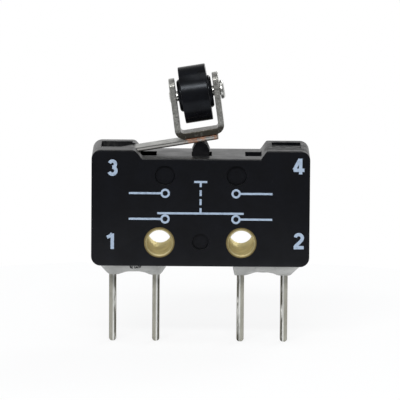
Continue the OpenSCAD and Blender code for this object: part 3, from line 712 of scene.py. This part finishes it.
def make_crumbs(seal, finish):
    """Black crumbs caught in the resin where it meets the case."""
    surface = patch("Crumb patch", seal, CRUMBS_FROM, CRUMBS_TO)
    values = {"Density": CRUMB_DENSITY, "Grain": CRUMB_R * MM, "Seed": 4, "Finish": finish}
    return grown("Resin_crumbs", fleck_tree(), values, surface)


# ---- Finishes ----


def grain_group():
    """Stretched noise that mixes two colours; Mask is the same pattern for bump and roughness."""
    tree = bpy.data.node_groups.new("Stretched grain", "ShaderNodeTree")
    interface = tree.interface
    for name, kind in (
        ("Dark", "NodeSocketColor"), ("Light", "NodeSocketColor"), ("Stretch", "NodeSocketVector"),
        ("Scale", "NodeSocketFloat"), ("Low", "NodeSocketFloat"), ("High", "NodeSocketFloat"),
    ):
        interface.new_socket(name, in_out="INPUT", socket_type=kind)
    interface.new_socket("Colour", in_out="OUTPUT", socket_type="NodeSocketColor")
    interface.new_socket("Mask", in_out="OUTPUT", socket_type="NodeSocketFloat")
    nodes, links = tree.nodes, tree.links
    given, out = nodes.new("NodeGroupInput"), nodes.new("NodeGroupOutput")
    where = nodes.new("ShaderNodeTexCoord")
    stretch = nodes.new("ShaderNodeMapping")
    pattern = nodes.new("ShaderNodeTexNoise")
    pattern.inputs["Detail"].default_value = 4
    pattern.inputs["Roughness"].default_value = 0.6
    level = nodes.new("ShaderNodeMapRange")
    mix = nodes.new("ShaderNodeMix")
    mix.data_type = "RGBA"
    links.new(where.outputs["Object"], stretch.inputs["Vector"])
    links.new(given.outputs["Stretch"], stretch.inputs["Scale"])
    links.new(stretch.outputs["Vector"], pattern.inputs["Vector"])
    links.new(given.outputs["Scale"], pattern.inputs["Scale"])
    links.new(pattern.outputs["Fac"], level.inputs["Value"])
    links.new(given.outputs["Low"], level.inputs["From Min"])
    links.new(given.outputs["High"], level.inputs["From Max"])
    links.new(level.outputs["Result"], mix.inputs["Factor"])
    links.new(given.outputs["Dark"], mix.inputs[6])
    links.new(given.outputs["Light"], mix.inputs[7])
    links.new(mix.outputs[2], out.inputs["Colour"])
    links.new(level.outputs["Result"], out.inputs["Mask"])
    return tree


GRAIN = grain_group()


class Finish:
    """A principled material with helpers that add layers of grain."""

    def __init__(self, name, metallic=0.0, specular=0.5):
        self.material = bpy.data.materials.new(name)
        self.material.use_nodes = True
        self.tree = self.material.node_tree
        self.tree.nodes.clear()
        out = self.tree.nodes.new("ShaderNodeOutputMaterial")
        self.shader = self.tree.nodes.new("ShaderNodeBsdfPrincipled")
        self.shader.inputs["Metallic"].default_value = metallic
        self.shader.inputs["Specular IOR Level"].default_value = specular
        self.tree.links.new(self.shader.outputs["BSDF"], out.inputs["Surface"])

    def grain(self, dark, light, scale, stretch=(1, 1, 1), low=0.3, high=0.7):
        """A grain node: its Colour and Mask are used by the other helpers."""
        node = self.tree.nodes.new("ShaderNodeGroup")
        node.node_tree = GRAIN
        node.inputs["Dark"].default_value = (*dark, 1)
        node.inputs["Light"].default_value = (*light, 1)
        node.inputs["Scale"].default_value = scale
        node.inputs["Stretch"].default_value = stretch
        node.inputs["Low"].default_value = low
        node.inputs["High"].default_value = high
        return node

    def along(self, way, start, end):
        """A mask that goes from 0 to 1 between two places in mm along a direction."""
        where = self.tree.nodes.new("ShaderNodeTexCoord")
        reach = self.tree.nodes.new("ShaderNodeVectorMath")
        reach.operation = "DOT_PRODUCT"
        reach.inputs[1].default_value = way
        self.tree.links.new(where.outputs["Object"], reach.inputs[0])
        return self.between(reach.outputs["Value"], start * MM, end * MM)

    def mark(self, name, start=0.0, end=1.0):
        """A mask from a named attribute of the mesh."""
        node = self.tree.nodes.new("ShaderNodeAttribute")
        node.attribute_name = name
        return self.between(node.outputs["Fac"], start, end)

    def between(self, value, start, end):
        """A mask that goes softly from 0 to 1 while value goes from start to end."""
        level = self.tree.nodes.new("ShaderNodeMapRange")
        level.interpolation_type = "SMOOTHSTEP"
        level.inputs["From Min"].default_value = start
        level.inputs["From Max"].default_value = end
        self.tree.links.new(value, level.inputs["Value"])
        return level.outputs["Result"]

    def upward(self):
        """A mask of faces that look up, where dust and scuffs gather."""
        where = self.tree.nodes.new("ShaderNodeTexCoord")
        parts = self.tree.nodes.new("ShaderNodeSeparateXYZ")
        self.tree.links.new(where.outputs["Normal"], parts.inputs["Vector"])
        return self.between(parts.outputs["Z"], 0.55, 0.95)

    def times(self, a, b):
        """The product of a mask and another mask or a number."""
        node = self.tree.nodes.new("ShaderNodeMath")
        node.operation = "MULTIPLY"
        self.tree.links.new(a, node.inputs[0])
        if isinstance(b, float):
            node.inputs[1].default_value = b
        else:
            self.tree.links.new(b, node.inputs[1])
        return node.outputs[0]

    def mixed(self, mask, below, above):
        """Colour below where mask is 0 and above where it is 1; each is a socket or a colour."""
        node = self.tree.nodes.new("ShaderNodeMix")
        node.data_type = "RGBA"
        self.tree.links.new(mask, node.inputs["Factor"])
        for value, socket in ((below, node.inputs[6]), (above, node.inputs[7])):
            if isinstance(value, tuple):
                socket.default_value = (*value, 1)
            else:
                self.tree.links.new(value, socket)
        return node.outputs[2]

    def colour(self, socket):
        """Sets the colour, and keeps it as the base for stains and for painted light and shade."""
        self.base = socket
        self.tree.links.new(socket, self.shader.inputs["Base Color"])

    def stain_and_painted_light(self, mask, amount, colour, scale, low=0.3, high=0.6):
        """Adds blotchy colour where mask is 1, for stains and for painted light and shade."""
        blotch = self.grain(colour, tuple(0.55 * c for c in colour), scale, low=low, high=high)
        spread = self.grain((0, 0, 0), (1, 1, 1), scale * 0.8, (1.3, 0.8, 1), low, high)
        share = self.times(self.times(mask, spread.outputs["Mask"]), amount)
        self.colour(self.mixed(share, self.base, blotch.outputs["Colour"]))

    def greater(self, a, b):
        """The greater of two masks."""
        node = self.tree.nodes.new("ShaderNodeMath")
        node.operation = "MAXIMUM"
        self.tree.links.new(a, node.inputs[0])
        self.tree.links.new(b, node.inputs[1])
        return node.outputs[0]

    def strength(self, name, mask, low, high):
        """Sets a value of the shader from low where mask is 0 to high where it is 1."""
        level = self.tree.nodes.new("ShaderNodeMapRange")
        level.inputs["To Min"].default_value = low
        level.inputs["To Max"].default_value = high
        self.tree.links.new(mask, level.inputs["Value"])
        self.tree.links.new(level.outputs["Result"], self.shader.inputs[name])

    def roughness(self, mask, low, high):
        """Sets the roughness from low where mask is 0 to high where it is 1."""
        self.strength("Roughness", mask, low, high)

    def bump(self, mask, height):
        """Adds relief of height mm; layers stack in the order they are added."""
        node = self.tree.nodes.new("ShaderNodeBump")
        node.inputs["Strength"].default_value = 1.0
        node.inputs["Distance"].default_value = height * MM
        self.tree.links.new(mask, node.inputs["Height"])
        normal = self.shader.inputs["Normal"]
        if normal.is_linked:
            self.tree.links.new(normal.links[0].from_socket, node.inputs["Normal"])
        self.tree.links.new(node.outputs["Normal"], normal)


def moulded_black(name, dark, light, rough, specular, dust_and_fill=0.8):
    """Moulded plastic: soft clouding, light scuffs, upper faces with dust or smears, and recess
    rear walls lightened with painted fill light in the dust grey.
    """
    finish = Finish(name, specular=specular)
    cloud = finish.grain(dark, light, 420, low=0.35, high=0.7)
    fine = finish.grain(dark, light, 9000, low=0.2, high=0.8)
    scuff = finish.grain(dark, light, 2600, (1, 1, 0.35), 0.70, 0.78)
    grey = (0.055, 0.055, 0.052)
    dust = finish.grain(grey, grey, 1900, low=0.36, high=0.72)
    worn = tuple(min(1, 3.2 * c + 0.008) for c in light)
    colour = finish.mixed(finish.times(scuff.outputs["Mask"], 0.5), cloud.outputs["Colour"], worn)
    # Painted fill light: the rear walls of the recesses get the dust grey too, more on the left, to
    # lighten their shade
    behind = finish.times(finish.along((0, 1, 0), -3.6, -3.3), finish.along((0, 0, 1), 9.9, 10.05))
    behind = finish.times(behind, finish.along((-1, 0, 0), -30, 10))
    dust_and_fill_mask = finish.greater(finish.upward(), behind)
    # Smears wipe it off the tops of the end blocks, more on the right
    blocks = finish.times(finish.along((0, 0, 1), 9.95, 10.5), finish.along((0, 1, 0), -4.4, -3.5))
    smear = finish.grain((0, 0, 0), (1, 1, 1), 1300, (0.5, 1.2, 1), low=0.32, high=0.50)
    smeared = finish.times(blocks, smear.outputs["Mask"])
    smeared = finish.times(smeared, finish.along((1, 0, 0), -18, 2))
    # How much dust lies on upward faces, and how much painted fill light on the recess rear walls
    dust_and_fill_share = finish.times(dust_and_fill_mask, finish.times(dust.outputs["Mask"], dust_and_fill))
    dust_and_fill_colour = finish.mixed(dust_and_fill_share, colour, dust.outputs["Colour"])
    finish.colour(finish.mixed(finish.times(smeared, 0.9), dust_and_fill_colour, dark))
    finish.strength("Specular IOR Level", smeared, specular, 0.02)
    finish.roughness(cloud.outputs["Mask"], *rough)
    finish.bump(fine.outputs["Mask"], 0.003)
    finish.bump(cloud.outputs["Mask"], 0.004)
    return finish.material


def brass_finish():
    """Rolled brass gone dull: olive in the bore; the rolled lip, where it meets the case, is
    painted darker and brown as painted shade.
    """
    finish = Finish("Rolled brass", metallic=0.85)
    finish.shader.inputs["Specular Tint"].default_value = (0.95, 0.87, 0.60, 1)
    tarnish = finish.grain((0.60, 0.52, 0.27), (0.80, 0.72, 0.43), 900, low=0.25, high=0.65)
    spots = finish.grain((0, 0, 0), (1, 1, 1), 2600, low=0.62, high=0.74)
    drawn = finish.grain((0, 0, 0), (1, 1, 1), 5000, (1, 0.15, 1), 0.3, 0.7)
    spotted = finish.times(spots.outputs["Mask"], 0.5)
    colour = finish.mixed(spotted, tarnish.outputs["Colour"], (0.15, 0.09, 0.04))
    # Painted shade: the rolled lip is painted darker and brown, and made less metallic and rougher
    finish.colour(finish.mixed(finish.mark("Rim", 0.0, 0.75), colour, (0.20, 0.155, 0.065)))
    finish.strength("Metallic", finish.mark("Rim"), 0.85, 0.5)
    finish.strength("Roughness", finish.mark("Rim"), 0.5, 0.8)
    finish.bump(drawn.outputs["Mask"], 0.002)
    return finish.material


def tin_finish():
    """Dipped tin: plain outer half, then a bright band of painted highlight and a broken dark line
    of painted shade on the inner half.
    """
    finish = Finish("Dipped tin", metallic=0.7)
    plain = finish.grain((0.33, 0.32, 0.27), (0.44, 0.43, 0.37), 900, (1, 1, 0.3), 0.3, 0.7)
    # Painted highlight: the bright band across the inner half of each leg
    band = finish.grain((0.42, 0.42, 0.39), (0.80, 0.80, 0.76), 1500, (1, 1, 0.2), 0.36, 0.56)
    broken = finish.grain((0, 0, 0), (1, 1, 1), 1700, (1, 1, 0.22), 0.36, 0.50)
    inner = finish.mark("Inner side", 0.44, 0.54)
    colour = finish.mixed(inner, plain.outputs["Colour"], band.outputs["Colour"])
    # Painted shade: the broken dark line nearer the inner edge of each leg
    line = finish.times(finish.mark("Inner side", 0.66, 0.76), broken.outputs["Mask"])
    colour = finish.mixed(line, colour, (0.07, 0.065, 0.05))
    colour = finish.mixed(finish.mark("Inner side", 0.88, 0.94), colour, plain.outputs["Colour"])
    finish.colour(finish.mixed(finish.mark("Edge"), colour, (0.20, 0.18, 0.15)))
    finish.roughness(band.outputs["Mask"], 0.5, 0.34)
    finish.bump(band.outputs["Mask"], 0.004)
    finish.bump(broken.outputs["Mask"], 0.006)
    return finish.material


def rolled_steel(name, dark, light, rough, scale=6000):
    """Satin strip with rolling lines along the lever, as a finish to add stains and painted light
    and shade to.
    """
    finish = Finish(name, metallic=0.9)
    lines = finish.grain(dark, light, scale, (0.05, 1, 1), 0.25, 0.75)
    patches = finish.grain(dark, light, 800, low=0.3, high=0.7)
    finish.colour(finish.mixed(patches.outputs["Mask"], lines.outputs["Colour"], light))
    finish.roughness(patches.outputs["Mask"], *rough)
    finish.bump(lines.outputs["Mask"], 0.002)
    return finish


def lever_finish():
    """Lever strip: painted shade at its root; on its front edge a burnished band painted as a
    highlight, a dark band low down and a painted shade line at the top arris; copper at its end.
    """
    finish = rolled_steel("Lever strip", (0.26, 0.26, 0.245), (0.46, 0.46, 0.43), (0.42, 0.3))
    front = finish.along((0, 1, 0), -1.62, -1.69)
    # Painted highlight: a burnished band high on the front edge, painted near white and made less
    # metallic
    bright = finish.times(front, finish.along(LEVER_UP, 11.28, 11.36))
    finish.stain_and_painted_light(bright, 0.9, (0.92, 0.90, 0.86), 5000, 0.0, 0.35)
    finish.strength("Metallic", bright, 0.9, 0.3)
    lower = finish.times(front, finish.along(LEVER_DOWN, -11.42, -11.34))
    finish.stain_and_painted_light(lower, 0.85, (0.09, 0.085, 0.075), 2400, 0.0, 0.2)
    # Painted shade: a dark line along the top arris of the front edge, in place of the dark
    # reflection it shows
    arris = finish.times(front, finish.along(LEVER_UP, 11.54, 11.58))
    finish.stain_and_painted_light(arris, 0.8, (0.12, 0.12, 0.11), 2400, 0.0, 0.3)
    finish.stain_and_painted_light(finish.along(LEVER_WAY, -0.5, 0.9), 0.7, (0.54, 0.25, 0.13), 1500, 0.44, 0.58)
    # Painted shade: the root, where it runs into the left block's recess, is painted black
    finish.stain_and_painted_light(finish.along((-1, 0, 0), 7.4, 7.9), 0.97, (0.03, 0.03, 0.03), 900, 0.0, 0.1)
    return finish.material


def sheet_finish():
    """Bracket sheet: ears flecked light and dark over a base that turns darker brown towards its
    bottom.
    """
    dark, light = (0.24, 0.24, 0.22), (0.62, 0.62, 0.58)
    finish = rolled_steel("Bracket sheet", dark, light, (0.42, 0.3), 3400)
    base = finish.along(LEVER_DOWN, -13.0, -12.45)
    finish.stain_and_painted_light(base, 0.9, (0.10, 0.08, 0.05), 1700, 0.15, 0.4)
    ears = finish.along(LEVER_UP, 12.2, 13.0)
    finish.stain_and_painted_light(ears, 0.6, (0.96, 0.95, 0.91), 5200, 0.52, 0.60)
    finish.stain_and_painted_light(ears, 0.55, (0.10, 0.10, 0.09), 4300, 0.56, 0.63)
    return finish.material


def copper_finish(name):
    """Copper with uneven dark flow marks."""
    finish = Finish(name, metallic=1.0)
    flow = finish.grain((0.05, 0.02, 0.012), (0.44, 0.19, 0.09), 1800, low=0.36, high=0.66)
    finish.colour(flow.outputs["Colour"])
    finish.roughness(flow.outputs["Mask"], 0.45, 0.28)
    finish.bump(flow.outputs["Mask"], 0.006)
    return finish.material


def silver_finish():
    """Bright silver with a light haze."""
    finish = Finish("Contact silver", metallic=1.0)
    haze = finish.grain((0.62, 0.61, 0.58), (0.88, 0.88, 0.86), 2500)
    finish.colour(haze.outputs["Colour"])
    finish.roughness(haze.outputs["Mask"], 0.34, 0.16)
    finish.bump(haze.outputs["Mask"], 0.002)
    return finish.material


def resin_finish():
    """Cast grey resin: cloudy, softly uneven, with small pits."""
    finish = Finish("Cast resin", specular=0.45)
    cloud = finish.grain((0.40, 0.40, 0.385), (0.56, 0.56, 0.54), 650, low=0.3, high=0.7)
    pits = finish.grain((0.24, 0.24, 0.24), (1, 1, 1), 3800, low=0.24, high=0.36)
    finish.colour(finish.mixed(pits.outputs["Mask"], (0.20, 0.20, 0.20), cloud.outputs["Colour"]))
    finish.roughness(cloud.outputs["Mask"], 0.62, 0.42)
    finish.bump(cloud.outputs["Mask"], 0.03)
    finish.bump(pits.outputs["Mask"], 0.012)
    return finish.material


def roller_finish():
    """Turned black plastic with a smooth skin and faint turning lines round its axis."""
    finish = Finish("Roller black", specular=0.13)
    finish.shader.inputs["Specular Tint"].default_value = (0.84, 0.91, 1.0, 1)
    cloud = finish.grain((0.0035, 0.0035, 0.004), (0.007, 0.0075, 0.0095), 700)
    lines = finish.grain((0, 0, 0), (1, 1, 1), 5000, (1, 0.03, 0.05), 0.3, 0.7)
    finish.colour(cloud.outputs["Colour"])
    finish.roughness(cloud.outputs["Mask"], 0.28, 0.2)
    finish.bump(lines.outputs["Mask"], 0.0015)
    return finish.material


def ink_finish():
    """Printed ink, a little thin and uneven."""
    finish = Finish("Pale blue ink", specular=0.3)
    wear = finish.grain((0.20, 0.25, 0.33), (0.33, 0.41, 0.52), 2600, low=0.2, high=0.5)
    finish.colour(wear.outputs["Colour"])
    finish.roughness(wear.outputs["Mask"], 0.7, 0.5)
    finish.bump(wear.outputs["Mask"], 0.002)
    return finish.material


# ---- Assembly ----


def place(piece, body, slot, finish, *nodes):
    """Gives a piece its finish, its body and the solids it stands for."""
    piece.data.materials.clear()
    piece.data.materials.append(finish)
    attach(piece, body)
    if nodes:
        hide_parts(*nodes)
    return piece


def dress():
    """Makes the finishes and puts a dressed piece, or a finish, on every solid."""
    dark, light = (0.0030, 0.0033, 0.0046), (0.0058, 0.0063, 0.0084)
    black = moulded_black("Moulding black", dark, light, (0.36, 0.28), 0.2)
    dark, light = (0.005, 0.005, 0.006), (0.009, 0.009, 0.0105)
    matte = moulded_black("Plunger black", dark, light, (0.5, 0.4), 0.12, 0.1)
    brass, tin, resin = brass_finish(), tin_finish(), resin_finish()
    steel, sheet = lever_finish(), sheet_finish()
    dark, light = (0.40, 0.40, 0.38), (0.72, 0.72, 0.69)
    turned_steel = rolled_steel("Turned steel", dark, light, (0.34, 0.2)).material
    copper, silver = copper_finish("Flowed copper"), silver_finish()

    cover, housing = make_case()
    place(cover, "case", "cover_black", black, "cover")
    place(housing, "case", "case_black", black, "housing")
    for side in ("left", "right"):
        eyelet = make_eyelet(f"eyelet_{side}", f"Eyelet_{side}")
        place(eyelet, "case", "eyelet_brass", brass, f"eyelet_{side}")
    place(make_print(), "case", "cover_black", ink_finish())

    for number, lean in ((1, 0.0), (2, 0.0), (3, 0.05), (4, 0.0)):
        terminal = make_terminal(f"terminal_{number}", f"Terminal_strip_{number}", lean)
        place(terminal, "case", "terminal_tin", tin, f"terminal_{number}")
    pairs = {"left": ("terminal_1", "terminal_3"), "right": ("terminal_2", "terminal_4")}
    for side, legs in pairs.items():
        seal = make_seal(f"terminal_seal_{side}", f"Resin_seal_{side}", legs)
        place(seal, "case", "seal_resin", resin, f"terminal_seal_{side}")
        if side == "left":
            place(make_crumbs(seal, matte), "case", "seal_resin", matte)

    place(eased("lever", "Lever_strip", LEVER_EASE), "lever_arm", "lever_steel", steel, "lever")
    yoke = eased("roller_bracket", "Roller_yoke", YOKE_EASE)
    place(yoke, "lever_arm", "bracket_steel", sheet, "roller_bracket")
    braze = eased("bracket_braze", "Braze_layer", BRAZE_EASE)
    place(braze, "lever_arm", "braze_copper", copper, "bracket_braze")
    place(make_axle(), "lever_arm", "axle_steel", turned_steel, "roller_axle")
    place(make_roller(), "roller_wheel", "roller_black", roller_finish(), "roller")
    button = eased("plunger", "Push_button", BUTTON_EASE)
    place(button, "push_rod", "plunger_black", matte, "plunger")
    place(make_return_spring(turned_steel), "case", "spring_steel", turned_steel, "return_spring")

    # No view shows these, so they keep their own meshes
    kept = {
        "lever_pin": turned_steel, "snap_spring_left": steel, "snap_spring_right": steel,
        "contact_bridge": copper, "bridge_contact_left": silver, "bridge_contact_right": silver,
        "fixed_contact_1": silver, "fixed_contact_2": silver, "fixed_contact_3": silver,
        "fixed_contact_4": silver,
    }
    for node, finish in kept.items():
        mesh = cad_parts[node].data
        mesh.materials.clear()
        mesh.materials.append(finish)


# ---- Studio ----


def make_floor(z):
    """Round pale floor under the leg tips: white to the camera, with the object's soft shadow."""
    radius, steps = 60.0, 96
    rim = [(x, y, z) for x, y in arc((0, 0), radius, 0, 360 - 360 / steps, steps - 1)]
    mesh = bpy.data.meshes.new("Floor")
    mesh.from_pydata([Vector(p) * MM for p in rim], [], [tuple(range(steps))])
    floor = link("Floor", mesh)
    material = bpy.data.materials.new("Pale floor")
    material.use_nodes = True
    tree = material.node_tree
    tree.nodes.clear()
    out = tree.nodes.new("ShaderNodeOutputMaterial")
    matte = tree.nodes.new("ShaderNodeBsdfDiffuse")
    matte.inputs["Color"].default_value = (0.85, 0.85, 0.85, 1)
    glow = tree.nodes.new("ShaderNodeEmission")
    glow.inputs["Strength"].default_value = 1.0
    path = tree.nodes.new("ShaderNodeLightPath")
    share = tree.nodes.new("ShaderNodeMath")
    share.operation = "MULTIPLY"
    share.inputs[1].default_value = 0.82
    mix = tree.nodes.new("ShaderNodeMixShader")
    tree.links.new(path.outputs["Is Camera Ray"], share.inputs[0])
    tree.links.new(share.outputs[0], mix.inputs[0])
    tree.links.new(matte.outputs[0], mix.inputs[1])
    tree.links.new(glow.outputs[0], mix.inputs[2])
    tree.links.new(mix.outputs[0], out.inputs["Surface"])
    floor.data.materials.append(material)


def make_world():
    """White all round for the camera; reflections see a bright band low behind and a dim front."""
    world = bpy.data.worlds.new("Studio")
    bpy.context.scene.world = world
    world.use_nodes = True
    tree = world.node_tree
    tree.nodes.clear()
    out = tree.nodes.new("ShaderNodeOutputWorld")
    path = tree.nodes.new("ShaderNodeLightPath")
    seen = tree.nodes.new("ShaderNodeBackground")
    mirrored = tree.nodes.new("ShaderNodeBackground")
    ambient = tree.nodes.new("ShaderNodeBackground")
    ambient.inputs["Color"].default_value = (0.93, 0.96, 1.0, 1)
    ambient.inputs["Strength"].default_value = 0.5
    seen.inputs["Color"].default_value = (1, 1, 1, 1)
    seen.inputs["Strength"].default_value = 1.0
    where = tree.nodes.new("ShaderNodeTexCoord")
    parts = tree.nodes.new("ShaderNodeSeparateXYZ")
    level = tree.nodes.new("ShaderNodeMapRange")
    level.inputs["From Min"].default_value = -0.25
    level.inputs["From Max"].default_value = 0.55
    height = tree.nodes.new("ShaderNodeMapRange")
    height.inputs["From Min"].default_value = 0.25
    height.inputs["From Max"].default_value = 0.75
    height.inputs["To Min"].default_value = 1.0
    height.inputs["To Max"].default_value = 0.12
    band = tree.nodes.new("ShaderNodeMath")
    band.operation = "MULTIPLY_ADD"
    band.inputs[2].default_value = 0.06
    tree.links.new(where.outputs["Generated"], parts.inputs["Vector"])
    tree.links.new(parts.outputs["Y"], level.inputs["Value"])
    tree.links.new(parts.outputs["Z"], height.inputs["Value"])
    tree.links.new(level.outputs["Result"], band.inputs[0])
    tree.links.new(height.outputs["Result"], band.inputs[1])
    tree.links.new(band.outputs[0], mirrored.inputs["Strength"])
    first = tree.nodes.new("ShaderNodeMixShader")
    second = tree.nodes.new("ShaderNodeMixShader")
    either = tree.nodes.new("ShaderNodeMath")
    either.operation = "MAXIMUM"
    tree.links.new(path.outputs["Is Glossy Ray"], either.inputs[0])
    tree.links.new(path.outputs["Is Transmission Ray"], either.inputs[1])
    tree.links.new(either.outputs[0], first.inputs[0])
    tree.links.new(ambient.outputs[0], first.inputs[1])
    tree.links.new(mirrored.outputs[0], first.inputs[2])
    tree.links.new(path.outputs["Is Camera Ray"], second.inputs[0])
    tree.links.new(first.outputs[0], second.inputs[1])
    tree.links.new(seen.outputs[0], second.inputs[2])
    tree.links.new(second.outputs[0], out.inputs["Surface"])


def make_lamp(name, azimuth, rise, distance, size, power, colour=(1, 1, 1)):
    """Area lamp aimed at the case; azimuth 0 is in front, positive to the right."""
    data = bpy.data.lights.new(name, "AREA")
    data.shape = "RECTANGLE"
    data.size, data.size_y = size[0] * MM, size[1] * MM
    data.energy = power
    data.color = colour
    lamp = bpy.data.objects.new(name, data)
    bpy.context.scene.collection.objects.link(lamp)
    a, e = math.radians(azimuth), math.radians(rise)
    away = Vector((math.sin(a) * math.cos(e), -math.cos(a) * math.cos(e), math.sin(e)))
    aim = Vector((0, 0, 5)) * MM
    lamp.location = aim + away * distance * MM
    lamp.rotation_mode = "QUATERNION"
    lamp.rotation_quaternion = (-away).to_track_quat("-Z", "Y")


def make_camera():
    """A long lens in front of the case, a little above it."""
    data = bpy.data.cameras.new("Camera")
    data.sensor_width = 36
    data.lens = CAMERA_LENS
    data.clip_start, data.clip_end = 0.01, 10
    camera = bpy.data.objects.new("Camera", data)
    bpy.context.scene.collection.objects.link(camera)
    rise = math.radians(CAMERA_RISE)
    look = Vector((0, math.cos(rise), -math.sin(rise)))
    camera.location = (Vector(CAMERA_AIM) - look * CAMERA_DISTANCE) * MM
    camera.rotation_mode = "QUATERNION"
    roll = Quaternion((0, 0, 1), math.radians(CAMERA_ROLL))
    camera.rotation_quaternion = look.to_track_quat("-Z", "Y") @ roll
    bpy.context.scene.camera = camera


dress()
make_floor(cad_low.z / MM - 0.02)
make_world()
make_lamp("Key", -8, 36, 700, (420, 110), 3.4)
make_lamp("Top", 10, 78, 600, (300, 300), 0.6)
make_lamp("Rim", 150, 35, 700, (300, 200), 1.2)
make_camera()
bpy.context.scene.view_settings.view_transform = "Standard"
